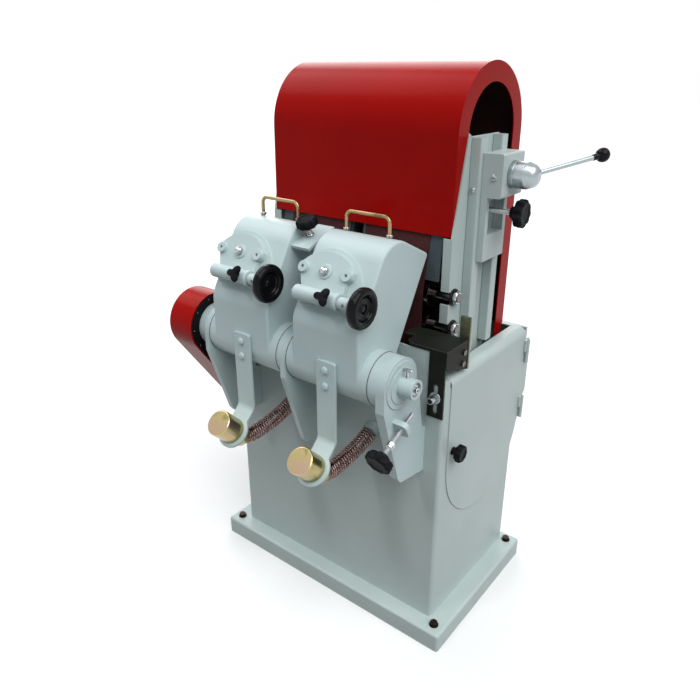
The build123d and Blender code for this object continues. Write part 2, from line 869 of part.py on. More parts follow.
def tube_axis():
    return slope_point(0, tube_up, tube_out)[1:]


def handwheel(x):
    y, z = tube_axis()
    start = x + handwheel_start
    rim = disc(y, z, handwheel_radius, start + 4, start + 18)
    rim -= disc(y, z, handwheel_radius - 12, start, start + 40)
    rim = fillet(rim.edges().filter_by(GeomType.CIRCLE), 5)
    shape = rim + disc(y, z, handwheel_radius - 9, start + 6, start + 11)
    shape += disc(y, z, 13, start, start + 22)
    shape += disc(y, z, wheel_shaft_radius, x - tube_left + 30, start + 22)
    return shape + disc(y, z, 12, x + tube_right + 0.3, x + tube_right + 13)


def lock_knob(x):
    place = x + lock_knob_offset
    tip = slope_point(place, tube_up, tube_out + lock_screw_reach)
    shape = rod(tip, slope_normal(), lock_screw_radius, tube_radius + 6 - lock_screw_reach)
    shape += rod(slope_point(place, tube_up, tube_out + tube_radius + 0.5), slope_normal(), 9, 6)
    return shape + lobed(slope_plane(place, tube_up, tube_out + tube_radius + 5), 20, 3, 12, 3)


def feed_yoke(x):
    centre = x + swivel_offset
    normal = slope_normal()
    cap = pad_height + swivel_thickness + 0.2
    shape = rod(slope_point(centre, swivel_up, -24), normal, spindle_radius, cap + 26)
    shape += rod(slope_point(centre, swivel_up, cap), normal, spindle_radius + 3.5, 2.5)
    shape += hex_rod(slope_point(centre, swivel_up, cap + 2), normal, 18, 9)
    shape += rod(slope_point(centre, swivel_up, cap), normal, 5.5, 15)
    shape += rod(slope_point(centre, swivel_up, -24), normal, 28, 13)
    outer = feed_wheel_half + 2 + fork_thickness
    shape += extrude(slope_plane(centre, swivel_up, -34) * Rectangle(2 * outer, 40), amount=11)
    for side in (-1, 1):
        arm = Pos(side * (outer - fork_thickness / 2), 0) * Rectangle(fork_thickness, 30)
        length = feed_wheel_depth + 16 - 33
        shape += extrude(slope_plane(centre, swivel_up, -feed_wheel_depth - 16) * arm, amount=length)
    _, y, z = slope_point(0, swivel_up, -feed_wheel_depth)
    return shape - disc(y, z, feed_axle_radius + running_clearance, centre - 99, centre + 99)


def feed_wheel(x):
    centre = x + swivel_offset
    _, y, z = slope_point(0, swivel_up, -feed_wheel_depth)
    shape = disc(y, z, feed_wheel_radius, centre - feed_wheel_half, centre + feed_wheel_half)
    shape = fillet(shape.edges().filter_by(GeomType.CIRCLE), 4)
    end = x + head_belt_start + head_belt_width
    shape += disc(y, z, feed_axle_radius, centre - feed_wheel_half - fork_thickness - 4, end)
    return shape + disc(y, z, wheel_pulley_radius, end - head_belt_width, end)


def head_belt_circles():
    _, y, z = slope_point(0, swivel_up, -feed_wheel_depth)
    return [(pivot_y, pivot_z, shaft_pulley_radius), (y, z, wheel_pulley_radius)]


def head_belt(x):
    start = x + head_belt_start + 2
    return loop(head_belt_circles(), start, start + head_belt_width - 4, head_belt_thickness)


def strap_bolt_heights():
    return pivot_z + 17, pivot_z - 24


def strap_plane(x, out):
    """Plane of the strap's bent end: its normal points up and forwards."""
    y, z = ring_centre()
    half = sin(radians(45))
    return Plane(origin=(x, y - out * half, z + out * half), x_dir=(1, 0, 0), z_dir=(0, -half, half))


def spring_arm(x):
    half = strap_width / 2
    front = casing_front - 0.2 - strap_thickness
    shape = block(x - half, x + half, front, front + strap_thickness, strap_bend_z, strap_top)
    shape = fillet(shape.edges().filter_by(Axis.Y).group_by(Axis.Z)[-1], 4)
    tongue = Pos(0, strap_reach / 2) * Rectangle(strap_width, strap_reach) + Circle(ring_radius)
    shape += extrude(strap_plane(x, -strap_thickness / 2) * tongue, amount=strap_thickness)
    knee = front + strap_thickness / 2
    shape += rod((x - half, knee, strap_bend_z), (1, 0, 0), strap_thickness / 2, strap_width)
    shape -= extrude(strap_plane(x, -20) * Circle(cup_neck + 0.3), amount=40)
    for z in strap_bolt_heights():
        shape -= rod((x, front - 9, z), (0, 1, 0), 5 + running_clearance, 40)
    bolts = []
    for z in strap_bolt_heights():
        bolt = rod((x, front, z), (0, -1, 0), 13, 6)
        bolt = fillet(bolt.faces().sort_by(Axis.Y)[0].edges(), 3)
        bolts.append(bolt + rod((x, front - 1, z), (0, 1, 0), 5, strap_thickness + 6))
    return [shape, *bolts]


def spring_cup(x):
    half = strap_thickness / 2 + 0.2
    shape = extrude(strap_plane(x, half) * Circle(cup_radius), amount=cup_length)
    shape = fillet(shape.edges().filter_by(GeomType.CIRCLE), 3)
    shape += extrude(strap_plane(x, -half) * Circle(cup_neck), amount=2 * half + 1)
    shape += extrude(strap_plane(x, -cup_back) * Circle(spring_radius + 2.5), amount=cup_back - half)
    peg = Circle(spring_radius - spring_wire - 2)
    return shape + extrude(strap_plane(x, -cup_back - 12) * peg, amount=14)


def spring(x):
    ring = Circle(spring_radius) - Circle(spring_radius - spring_wire)
    y, z = spring_knee()
    start = strap_plane(x, -cup_back - belt_gap) * ring
    shape = revolve(start, axis=Axis((x, y, z), (1, 0, 0)), revolution_arc=45)
    low = z - spring_knee_radius
    level = Plane(origin=(x, y, low), x_dir=(1, 0, 0), z_dir=(0, 1, 0))
    axis = Axis((x, y, low + spring_end()[0]), (1, 0, 0))
    return shape + revolve(level * ring, axis=axis, revolution_arc=spring_end_angle)


def tab_point(along, above):
    tilt = radians(tab_tilt)
    y = tab_front[0] + along * cos(tilt) - above * sin(tilt)
    return y, tab_front[1] + along * sin(tilt) + above * cos(tilt)


def stop_axis():
    return 0, -sin(radians(tab_tilt)), cos(radians(tab_tilt))


def stop_tab():
    corners = [tab_point(0, 0), tab_point(tab_length, 0), tab_point(tab_length, tab_thickness),
               tab_point(0, tab_thickness)]
    shape = prism(polygon(corners), casing_half - head_offset, tab_right)
    y, z = tab_point(tab_length / 2, -5)
    return shape - rod((stop_knob_place, y, z), stop_axis(), 6 + running_clearance, 20)


def stop_knob():
    x = stop_knob_place
    under = tab_thickness + stop_knob_lift
    y, z = tab_point(tab_length / 2, -30)
    shape = rod((x, y, z), stop_axis(), 6, under + 34)
    y, z = tab_point(tab_length / 2, -12)
    shape += hex_rod((x, y, z), stop_axis(), 18, 10)
    y, z = tab_point(tab_length / 2, tab_thickness + 1)
    shape += hex_rod((x, y, z), stop_axis(), 18, 6)
    y, z = tab_point(tab_length / 2, under)
    plane = Plane(origin=(x, y, z), x_dir=(1, 0, 0), z_dir=stop_axis())
    return shape + lobed(plane, stop_knob_radius, 7, stop_knob_thickness, 4)


def belt_circles():
    circles = [(upper_roller_y, upper_roller_z, upper_roller_radius), (drum_y, drum_z, drum_radius)]
    return circles + [(contact_y, z, contact_radius) for z in contact_heights]


def sanding_belt():
    return loop(belt_circles(), belt_inner, belt_outer, belt_thickness)


def webbed_roller(y, z, radius):
    """A right-hand roller with a rim, a hub and one web between them, open at both ends."""
    start = belt_inner - 2
    end = belt_outer + 2
    middle = (start + end) / 2
    shape = disc(y, z, radius, start, end) - disc(y, z, radius - roller_rim, start - 1, end + 1)
    shape += disc(y, z, roller_hub, start, end)
    return shape + disc(y, z, radius - roller_rim + 1, middle - roller_web / 2, middle + roller_web / 2)


def drive_drums():
    half = frame_plate_inner - 4
    shape = disc(drum_y, drum_z, drum_shaft_radius, -belt_outer - 4, belt_outer + 4)
    drum = webbed_roller(drum_y, drum_z, drum_radius)
    return shape + drum + mirrored(drum) + disc(drum_y, drum_z, drum_pulley_radius, -half, half)


def main_drive_belt():
    half = frame_plate_inner - 7
    circles = [(drum_y, drum_z, drum_pulley_radius), (motor_y, motor_z, motor_pulley_radius)]
    return loop(circles, -half, half, 8)


def sander_motor():
    start = 45.0
    shape = disc(motor_y, motor_z, motor_radius, start, start + 245)
    shape = fillet(shape.edges().filter_by(GeomType.CIRCLE), 10)
    shape += block(start + 40, start + 200, motor_y - 75, motor_y + 75, base_height, base_height + 14)
    for side in (-1, 1):
        foot = motor_y + side * 50
        shape += block(start + 50, start + 190, foot - 12, foot + 12, base_height + 10, motor_z - 40)
    return shape - disc(motor_y, motor_z, motor_shaft_radius + running_clearance, start - 9, start + 40)


def motor_pulley():
    half = frame_plate_inner - 4
    shape = disc(motor_y, motor_z, motor_pulley_radius, -half, half)
    return shape + disc(motor_y, motor_z, motor_shaft_radius, -half, 80)


def inner_frame():
    sketch = polygon(
        [
            (-60, base_height),
            (130, base_height),
            (130, frame_top - 210),
            (60, frame_top),
            (contact_y - 2, frame_top),
            (contact_y - 25, contact_heights[0] + 45),
            (contact_y - 25, contact_heights[1] - 25),
            (-60, contact_heights[1] - 70),
        ]
    )
    outer = frame_plate_inner + frame_plate_thickness
    plates = prism(sketch, -outer, -frame_plate_inner) + prism(sketch, frame_plate_inner, outer)
    for y, z in ((-40, beam_low - 30), (100, beam_high + 30), (0, frame_top - 30), (-30, base_height + 26)):
        plates += disc(y, z, 12, -frame_plate_inner - 1, frame_plate_inner + 1)
    for side in (-1, 1):
        ends = sorted((side * (outer - 1), side * column_inner))
        beam = block(*ends, -30, 90, beam_low, beam_high)
        plates += beam - block(ends[0] - 1, ends[1] + 1, -24, 84, beam_low + 6, beam_high - 6)
    plates -= disc(drum_y, drum_z, drum_shaft_radius + running_clearance, -99, 99)
    plates -= disc(motor_y, motor_z, motor_shaft_radius + 4, -99, 99)
    for z in contact_heights:
        plates -= disc(contact_y, z, contact_axle_radius + running_clearance, -99, 99)
    return plates


def column_outline():
    return polygon(
        [
            (column_front, beam_low),
            (column_rear, beam_low),
            (column_rear, column_top),
            (-42, column_top),
            (column_front, hood_bottom - 3),
        ]
    )


def column_face():
    return column_inner + column_thickness


def side_plate():
    face = column_face()
    shape = prism(column_outline(), column_inner, face)
    flange_rear = column_front + column_thickness
    shape += block(face - column_flange, face, column_front, flange_rear, beam_low, hood_bottom - 3)
    for z in contact_heights:
        reach = contact_sleeve_radius + 0.4
        shape -= block(face - 40, face + 9, column_front - 9, contact_y, z - reach, z + reach)
        shape -= disc(contact_y, z, reach, face - 40, face + 9)
    slot = Pos(upper_roller_y, upper_roller_z - slide_travel / 2)
    size = contact_axle_radius + 0.4
    shape -= prism(slot * Rectangle(2 * size, slide_travel + 2 * size), column_inner - 9, face + 9)
    return shape


def guide_bars():
    face = column_face()
    bars = []
    for side in (-1, 1):
        y = upper_roller_y + side * bar_spacing / 2
        bar = block(face, bar_outer, y - bar_width / 2, y + bar_width / 2, cabinet_top + 6, column_top - 2)
        bars.append(fillet(bar.edges().filter_by(Axis.Z), 3))
    return bars


def front_screw(x, y, z):
    """A slotted round head on a face that looks to the front."""
    head = rod((x, y, z), (0, -1, 0), 6, 4)
    return head - block(x - 9, x + 9, y - 9, y - 3, z - 0.8, z + 0.8)


def belt_run(z, depth):
    """A point in (y, z) on the belt's straight front run, so deep inside the rollers' common tangent."""
    dy = upper_roller_y - contact_y
    dz = upper_roller_z - contact_heights[0]
    turn = atan2(dz, dy) + acos((contact_radius - upper_roller_radius) / sqrt(dy * dy + dz * dz))
    reach = contact_radius - depth
    return contact_y + (reach - sin(turn) * (z - contact_heights[0])) / cos(turn), z


def belt_platen():
    """Backing plate just behind the straight run of the belt above the contact rollers."""
    top = hood_bottom - 2
    low = contact_heights[0] + contact_radius + 3
    back = 8.0
    sketch = polygon([belt_run(low, 0.5), belt_run(top, 0.5), belt_run(top, back), belt_run(low, back)])
    return prism(sketch, frame_plate_inner + frame_plate_thickness, column_inner - column_flange - 2)


def contact_axle(z):
    shape = disc(contact_y, z, contact_axle_radius, -column_face() - 18, column_face() + 18)
    sleeve = disc(contact_y, z, contact_sleeve_radius, belt_outer + contact_overhang + 0.3, column_face())
    return shape + sleeve + mirrored(sleeve)


def contact_roller(z):
    roller = disc(contact_y, z, contact_radius, belt_inner - 2, belt_outer + contact_overhang)
    bore = contact_axle_radius + running_clearance
    return roller - disc(contact_y, z, bore, 0, belt_outer + contact_overhang + 9)


def axle_nut(z):
    face = column_face()
    nut = RegularPolygon(16, 6, major_radius=False)
    shape = disc(contact_y, z, 22, face, face + 4) + prism(Pos(contact_y, z) * nut, face + 3, face + 16)
    return shape - disc(contact_y, z, contact_axle_radius + running_clearance, face - 9, face + 30)


def hood_front_low():
    """Where the hood's front ends at the bottom: in front of the belt's straight run there."""
    return belt_run(hood_bottom, -belt_gap - belt_thickness)[0] - hood_belt_gap


def hood_outline(inset):
    sketch = polygon(
        [
            (hood_front_low() + inset, hood_bottom),
            (hood_centre_y - hood_radius + inset, hood_centre_z),
            (hood_centre_y, hood_centre_z + 1),
            (hood_centre_y + hood_radius - inset, hood_centre_z),
            (hood_centre_y + hood_radius - inset, cabinet_top),
            (hood_centre_y, cabinet_top),
            (hood_centre_y, hood_bottom),
        ]
    )
    return sketch + Pos(hood_centre_y, hood_centre_z) * Circle(hood_radius - inset)


def hood():
    solid = prism(hood_outline(0), -hood_half, hood_half)
    half = hood_half - hood_sheet
    shape = solid - prism(hood_outline(hood_sheet), -half, half)
    shape -= prism(hood_outline(hood_rim), -hood_half - 9, hood_half + 9)
    low = hood_centre_y + hood_radius - hood_rim
    shape -= block(-hood_half - 9, hood_half + 9, hood_front_low() - 9, low, 0, hood_bottom)
    rear = hood_centre_y + hood_radius - hood_sheet
    shape -= block(-half, half, hood_front_low() + 40, rear, cabinet_top - 9, hood_bottom + 9)
    shape -= block(-half, half, hood_front_low() + hood_sheet + 1, low, hood_bottom - 9, hood_bottom + 9)
    return shape


def slide_plate():
    """The right-hand slide with the upper roller's shaft."""
    y0 = upper_roller_y - slide_half
    y1 = upper_roller_y + slide_half
    shape = block(slide_inner, slide_face, y0, y1, slide_low, slide_high)
    gap = bar_spacing / 2 - bar_width / 2 - 0.3
    shape += block(column_face() + 2, slide_inner + 1, upper_roller_y - gap, upper_roller_y + gap,
                   slide_low + 20, slide_high - 10)
    y, z = upper_roller_y, upper_roller_z
    return shape + disc(y, z, contact_axle_radius, belt_inner - 4, slide_inner + 1)


def tension_slide():
    """The right-hand slide with the box that carries the lever on its outer face."""
    y0 = upper_roller_y - slide_half
    y1 = upper_roller_y + slide_half
    box = block(slide_face - 1, box_face, y0, y1, slide_box_low, slide_high)
    shape = slide_plate() + fillet(box.edges().filter_by(Axis.Y).group_by(Axis.X)[-1], 4)
    shape -= block(column_face() + 16, box_face + 9, upper_roller_y - 40, upper_roller_y + 40,
                   tracking_z - 55, tracking_z + 30)
    bore = wheel_shaft_radius + running_clearance
    shape -= disc(upper_roller_y, tracking_z, bore, column_face(), slide_face)
    return shape + front_screw(slide_face + 14, y0, upper_roller_z - 5)


def upper_roller():
    shape = webbed_roller(upper_roller_y, upper_roller_z, upper_roller_radius)
    bore = contact_axle_radius + running_clearance
    return shape - disc(upper_roller_y, upper_roller_z, bore, 0, belt_outer + 9)


def tracking_knob():
    start = column_face() + 8
    face = box_face + 6
    shape = disc(upper_roller_y, tracking_z, wheel_shaft_radius, start, face + 4)
    shape += disc(upper_roller_y, tracking_z, 15, face, face + 14)
    return shape + lobed(Plane(origin=(face + 12, upper_roller_y, tracking_z), z_dir=(1, 0, 0)),
                         tracking_knob_radius, 7, 25, 5)


def tension_lever():
    face = box_face + 0.3
    shape = disc(upper_roller_y, upper_roller_z, lever_hub_radius, face, face + lever_hub_length)
    shape = fillet(shape.faces().sort_by(Axis.X)[-1].edges(), lever_hub_round)
    start = (face + lever_root, upper_roller_y, upper_roller_z + 2)
    run = [b - a for a, b in zip(start, lever_ball)]
    length = sqrt(sum(value * value for value in run))
    shape += rod(start, run, lever_rod_radius, length)
    neck = [ball - value / length * (lever_ball_radius + 12) for ball, value in zip(lever_ball, run)]
    ball = Pos(*lever_ball) * Sphere(lever_ball_radius) + rod(neck, run, lever_rod_radius + 3, 20)
    return [shape - ball, ball]


def rest_end_outline():
    low = rest_top - 52
    return polygon(
        [
            (rest_front, rest_top),
            (rest_rear, rest_top),
            (rest_rear, rest_top - rest_end_drop),
            (rest_front + 12, low),
            (rest_front, low + 8),
        ]
    )


def work_rest():
    leg_right = rest_right - rest_sheet
    under = rest_top - rest_plate
    shape = block(rest_left, rest_right, rest_front, rest_rear, under, rest_top)
    wing_rear = rest_rear - rest_wing_gap
    wing_front = wing_rear - rest_wing_depth
    shape += block(rest_left - rest_wing, rest_left + 1, wing_front, wing_rear, under, rest_top)
    corner = rest_corner_cut * sqrt(2)
    shape -= Pos(rest_left, rest_front, rest_top) * Rot(0, 0, 45) * Box(corner, corner, 4 * rest_plate)
    leg_rear = rest_front + rest_sheet
    shape += block(rest_leg_left, leg_right + 1, rest_front, leg_rear, rest_leg_low, rest_top - 1)
    shape += prism(rest_end_outline(), leg_right, rest_right)
    x = (rest_leg_left + leg_right) / 2
    slot = block(x - rest_slot_half, x + rest_slot_half, rest_front - 9, rest_front + 9,
                 rest_slot_low + rest_slot_half, rest_slot_high - rest_slot_half)
    for z in (rest_slot_low + rest_slot_half, rest_slot_high - rest_slot_half):
        slot += rod((x, rest_front - 9, z), (0, 1, 0), rest_slot_half, 18)
    shape -= slot
    for y, z in rest_screw_places():
        shape -= rod((leg_right - 1, y, z), (1, 0, 0), 4 + running_clearance, 9)
    return shape


def rest_screw_places():
    return (rest_rear - 20, rest_top - 27), (rest_rear - 24, rest_top - 55)


def rest_guide():
    leg_right = rest_right - rest_sheet
    under = rest_top - rest_plate
    shape = block(leg_right - 8, leg_right, rest_rear - 33, rest_rear + 1, rest_top - 70, under - 1)
    guide_right = rest_right + 1.5
    shape += block(guide_right - guide_width, guide_right, rest_rear, rest_rear + guide_sheet,
                   rest_top - rest_end_drop, rest_top + guide_rise)
    for y, z in rest_screw_places():
        shape += rod((leg_right - 4, y, z), (1, 0, 0), 4, 9)
        shape += rod((rest_right, y, z), (1, 0, 0), 7, 4)
    return shape


def rest_clamp():
    x = (rest_leg_left + rest_right - rest_sheet) / 2
    shape = rod((x, cabinet_front, rest_stud_z), (0, -1, 0), rest_stud_radius, 38)
    shape += rod((x, rest_front - 0.3, rest_stud_z), (0, -1, 0), 14, 3)
    return shape + rod((x, rest_front - 3, rest_stud_z), (0, -1, 0), 8.5, 22)


keep("base_tray", base_tray())
keep("floor_bolts", *floor_bolts())
keep("cabinet", cabinet())
keep("inner_frame", inner_frame())
column = [side_plate(), *guide_bars()]
keep("side_columns", *column, *[mirrored(piece) for piece in column])
keep("belt_platens", belt_platen(), mirrored(belt_platen()))
keep("hood", hood())
keep("contact_axles", *[contact_axle(z) for z in contact_heights])
nuts = [axle_nut(z) for z in contact_heights]
nuts.append(front_screw(column_face() + 12, upper_roller_y - bar_spacing / 2 - bar_width / 2,
                        upper_roller_z - 35))
keep("frame_fasteners", *nuts, *[mirrored(nut) for nut in nuts], boss_screw(), rest_clamp())
keep("bracket_right", right_bracket())
keep("bracket_left", left_bracket())
keep("bracket_middle", middle_bracket())
keep("guard_cover", guard_cover())
keep("guard_back_plate", guard_back_plate())
keep("feed_motor", feed_motor())
keep("feed_motor_pulley", feed_motor_pulley())
keep("feed_drive_belt", feed_drive_belt())
keep("feed_shaft", feed_shaft())
keep("sander_motor", sander_motor())
keep("motor_pulley", motor_pulley())
keep("main_drive_belt", main_drive_belt())
keep("drive_drums", drive_drums())
keep("sanding_belt_right", sanding_belt())
keep("sanding_belt_left", mirrored(sanding_belt()))
for name, z in zip(("upper", "lower"), contact_heights):
    keep(f"contact_rollers_{name}", contact_roller(z), mirrored(contact_roller(z)))
keep("tension_slide_right", tension_slide())
keep("tension_slide_left", mirrored(slide_plate()))
keep("upper_roller_right", upper_roller())
keep("upper_roller_left", mirrored(upper_roller()))
keep("tension_lever", *tension_lever())
keep("tracking_knob", tracking_knob())
keep("door", door())
keep("door_knob", door_knob())
keep("work_rest", work_rest())
keep("rest_guide", rest_guide())
keep("adjuster", adjuster())
keep("stop_knob", stop_knob())
for name, x in (("right", head_offset), ("left", -head_offset)):
    tab = [stop_tab()] if name == "left" else []
    keep(f"head_casing_{name}", head_casing(x), *tab)
    keep(f"angle_plate_{name}", angle_plate(x))
    keep(f"bow_handle_{name}", bow_handle(x))
    keep(f"handwheel_{name}", handwheel(x))
    keep(f"lock_knob_{name}", lock_knob(x))
    keep(f"feed_yoke_{name}", feed_yoke(x))
    keep(f"feed_wheel_{name}", feed_wheel(x))
    keep(f"head_belt_{name}", head_belt(x))
    keep(f"spring_arm_{name}", *spring_arm(x + strap_offset))
    keep(f"spring_cup_{name}", spring_cup(x + strap_offset))
    keep(f"spring_{name}", spring(x + strap_offset))
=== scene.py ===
import math

import bpy
import numpy as np
from mathutils import Matrix, Vector


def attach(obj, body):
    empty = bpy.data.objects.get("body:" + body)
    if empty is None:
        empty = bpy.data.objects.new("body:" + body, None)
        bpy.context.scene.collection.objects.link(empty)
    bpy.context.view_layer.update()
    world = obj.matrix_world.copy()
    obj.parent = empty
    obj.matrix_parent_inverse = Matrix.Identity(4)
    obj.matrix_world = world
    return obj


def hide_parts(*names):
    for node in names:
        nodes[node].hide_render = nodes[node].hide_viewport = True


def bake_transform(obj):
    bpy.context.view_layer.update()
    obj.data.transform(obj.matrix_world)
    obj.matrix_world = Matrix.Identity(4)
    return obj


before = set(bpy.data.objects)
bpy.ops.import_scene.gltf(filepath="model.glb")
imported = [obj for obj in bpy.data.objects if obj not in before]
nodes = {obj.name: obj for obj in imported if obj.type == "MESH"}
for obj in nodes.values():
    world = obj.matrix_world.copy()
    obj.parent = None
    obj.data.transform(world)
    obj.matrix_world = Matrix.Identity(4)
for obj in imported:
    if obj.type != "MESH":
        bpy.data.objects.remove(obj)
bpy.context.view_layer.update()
mm = 0.001
print("frame loaded:", len(nodes), "nodes")


def toLinear(hexText):  # sRGB hex to linear RGBA
    rgb = np.array([int(hexText[i:i + 2], 16) for i in (1, 3, 5)]) / 255
    curve = np.where(rgb <= 0.04045, rgb / 12.92, ((rgb + 0.055) / 1.055) ** 2.4)
    return (*curve.tolist(), 1.0)


def addNode(tree, kind, sockets, stops=(), **settings):  # a socket takes a value or another node's output
    node = tree.nodes.new("ShaderNode" + kind)
    for key, value in settings.items():
        setattr(node, key, value)
    for key, value in sockets.items():
        if isinstance(value, bpy.types.NodeSocket):
            tree.links.new(value, node.inputs[key])
        else:
            node.inputs[key].default_value = value
    for i, (place, hexText) in enumerate(stops):
        stop = node.color_ramp.elements[i] if i < 2 else node.color_ramp.elements.new(place)
        stop.position = place
        stop.color = toLinear(hexText)
    return node


def startFinish(name):  # an empty material and a point on the piece in metres
    finish = bpy.data.materials.new(name)
    finish.use_nodes = True
    tree = finish.node_tree
    tree.nodes.clear()
    return finish, tree, addNode(tree, "TexCoord", {}).outputs["Object"]


def closeFinish(tree, shader):
    body = addNode(tree, "BsdfPrincipled", shader)
    addNode(tree, "OutputMaterial", {"Surface": body.outputs[0]})


def acrossMm(size):  # texture scale at which one feature is that many millimetres across
    return 1000.0 / size


# Stoved enamel: nearly even colour, a faint orange peel that shows only in the gloss, and soft edges
# lightened in places. On the work rest the lighter edge is paint rubbed off to bare metal; on the other
# enamels it is a painted highlight along the edges.
film = {"driftMm": 170, "shinier": 0.05, "duller": 0.07, "wearGlintFrom": 0.97, "wearGlintFull": 0.8, "wearGlintMost": 1.4,
        "peelStrength": 0.3}


def enamel(name, dark, light, edgeWearAndGlint, rough, gloss, peelMm, peelDeep, edgeMm):
    finish, tree, where = startFinish(name)
    drift = addNode(tree, "TexNoise", {"Vector": where, "Scale": acrossMm(film["driftMm"]), "Detail": 3.0})
    tone = addNode(tree, "ValToRGB", {"Fac": drift.outputs["Fac"]}, ((0.3, dark), (0.7, light)))
    peel = addNode(tree, "TexNoise", {"Vector": where, "Scale": acrossMm(peelMm), "Detail": 2.0})
    sheen = addNode(tree, "MapRange", {"Value": peel.outputs["Fac"], "To Min": rough - film["shinier"],
                                       "To Max": rough + film["duller"]})
    edge = addNode(tree, "Bevel", {"Radius": edgeMm * mm}, samples=4)
    face = addNode(tree, "NewGeometry", {}).outputs["Normal"]
    bend = addNode(tree, "VectorMath", {0: edge.outputs["Normal"], 1: face}, operation="DOT_PRODUCT")
    # Edge mask: the colour goes towards the edge colour where the bevelled normal turns from the face's
    # normal, in patches that follow the drift; painted highlight on most enamels, rubbed paint on the work
    # rest.
    rim = addNode(tree, "MapRange", {"Value": bend.outputs["Value"], "From Min": film["wearGlintFrom"],
                                     "From Max": film["wearGlintFull"], "To Max": film["wearGlintMost"]})
    wearGlint = addNode(tree, "Math", {0: rim.outputs["Result"], 1: drift.outputs["Fac"]}, operation="MULTIPLY")
    paint = addNode(tree, "MixRGB", {"Fac": wearGlint.outputs[0], "Color1": tone.outputs["Color"],
                                     "Color2": toLinear(edgeWearAndGlint)})
    skin = addNode(tree, "Bump", {"Strength": film["peelStrength"], "Distance": peelDeep * mm,
                                  "Height": peel.outputs["Fac"], "Normal": edge.outputs["Normal"]})
    closeFinish(tree, {"Base Color": paint.outputs["Color"], "Roughness": sheen.outputs["Result"],
                       "IOR": 1.5, "Specular IOR Level": gloss, "Normal": skin.outputs["Normal"]})
    return finish


# Machined metal: fine tool lines across one direction, lighter where the tool dwelt.
toolMarks = {"shinier": 0.05, "duller": 0.08, "deepMm": 0.04, "strength": 0.15}


def machinedMetal(name, dark, light, rough, lineMm, stretch, edgeMm):
    finish, tree, where = startFinish(name)
    drawn = addNode(tree, "Mapping", {"Vector": where, "Scale": stretch}).outputs[0]
    lines = addNode(tree, "TexNoise", {"Vector": drawn, "Scale": acrossMm(lineMm), "Detail": 4.0})
    tone = addNode(tree, "ValToRGB", {"Fac": lines.outputs["Fac"]}, ((0.32, dark), (0.68, light)))
    sheen = addNode(tree, "MapRange", {"Value": lines.outputs["Fac"], "To Min": rough - toolMarks["shinier"],
                                       "To Max": rough + toolMarks["duller"]})
    edge = addNode(tree, "Bevel", {"Radius": edgeMm * mm}, samples=4)
    skin = addNode(tree, "Bump", {"Strength": toolMarks["strength"], "Distance": toolMarks["deepMm"] * mm,
                                  "Height": lines.outputs["Fac"], "Normal": edge.outputs["Normal"]})
    closeFinish(tree, {"Base Color": tone.outputs["Color"], "Metallic": 1.0,
                       "Roughness": sheen.outputs["Result"], "Normal": skin.outputs["Normal"]})
    return finish


# Yellow passivated zinc: a thin film that drifts between straw, rose and olive.
chromate = {"filmMm": 60, "fineMm": 4, "shinier": 0.05, "duller": 0.09, "edgeMm": 0.7}


def passivatedZinc(name, straw, rose, olive, rough):
    finish, tree, where = startFinish(name)
    drift = addNode(tree, "TexNoise", {"Vector": where, "Scale": acrossMm(chromate["filmMm"]),
                                       "Detail": 2.0, "Distortion": 0.7})
    tone = addNode(tree, "ValToRGB", {"Fac": drift.outputs["Fac"]},
                   ((0.34, olive), (0.66, rose), (0.5, straw)))
    fine = addNode(tree, "TexNoise", {"Vector": where, "Scale": acrossMm(chromate["fineMm"]), "Detail": 2.0})
    sheen = addNode(tree, "MapRange", {"Value": fine.outputs["Fac"], "To Min": rough - chromate["shinier"],
                                       "To Max": rough + chromate["duller"]})
    edge = addNode(tree, "Bevel", {"Radius": chromate["edgeMm"] * mm}, samples=4)
    closeFinish(tree, {"Base Color": tone.outputs["Color"], "Metallic": 1.0,
                       "Roughness": sheen.outputs["Result"], "Normal": edge.outputs["Normal"]})
    return finish


# Phenolic, nylon and polyurethane mouldings: smooth from the tool, with faint flow marks.
flowMarks = {"flowMm": 25, "fineMm": 3, "shinier": 0.04, "duller": 0.06, "deepMm": 0.05, "strength": 0.1}


def moulded(name, dark, light, rough, gloss):
    finish, tree, where = startFinish(name)
    flow = addNode(tree, "TexNoise", {"Vector": where, "Scale": acrossMm(flowMarks["flowMm"]),
                                      "Detail": 2.0, "Distortion": 1.0})
    tone = addNode(tree, "ValToRGB", {"Fac": flow.outputs["Fac"]}, ((0.35, dark), (0.65, light)))
    fine = addNode(tree, "TexNoise", {"Vector": where, "Scale": acrossMm(flowMarks["fineMm"]), "Detail": 2.0})
    sheen = addNode(tree, "MapRange", {"Value": fine.outputs["Fac"], "To Min": rough - flowMarks["shinier"],
                                       "To Max": rough + flowMarks["duller"]})
    skin = addNode(tree, "Bump", {"Strength": flowMarks["strength"], "Distance": flowMarks["deepMm"] * mm,
                                  "Height": fine.outputs["Fac"]})
    closeFinish(tree, {"Base Color": tone.outputs["Color"], "Roughness": sheen.outputs["Result"],
                       "IOR": 1.55, "Specular IOR Level": gloss, "Normal": skin.outputs["Normal"]})
    return finish


# Closed-coat abrasive cloth: grit in red-brown resin. Real grit is about 0.2 mm; it is drawn at 2.5 mm
# so that it shows.
gritCoat = {"gritMm": 2.5, "wearMm": 70, "deepMm": 0.4, "strength": 0.6}


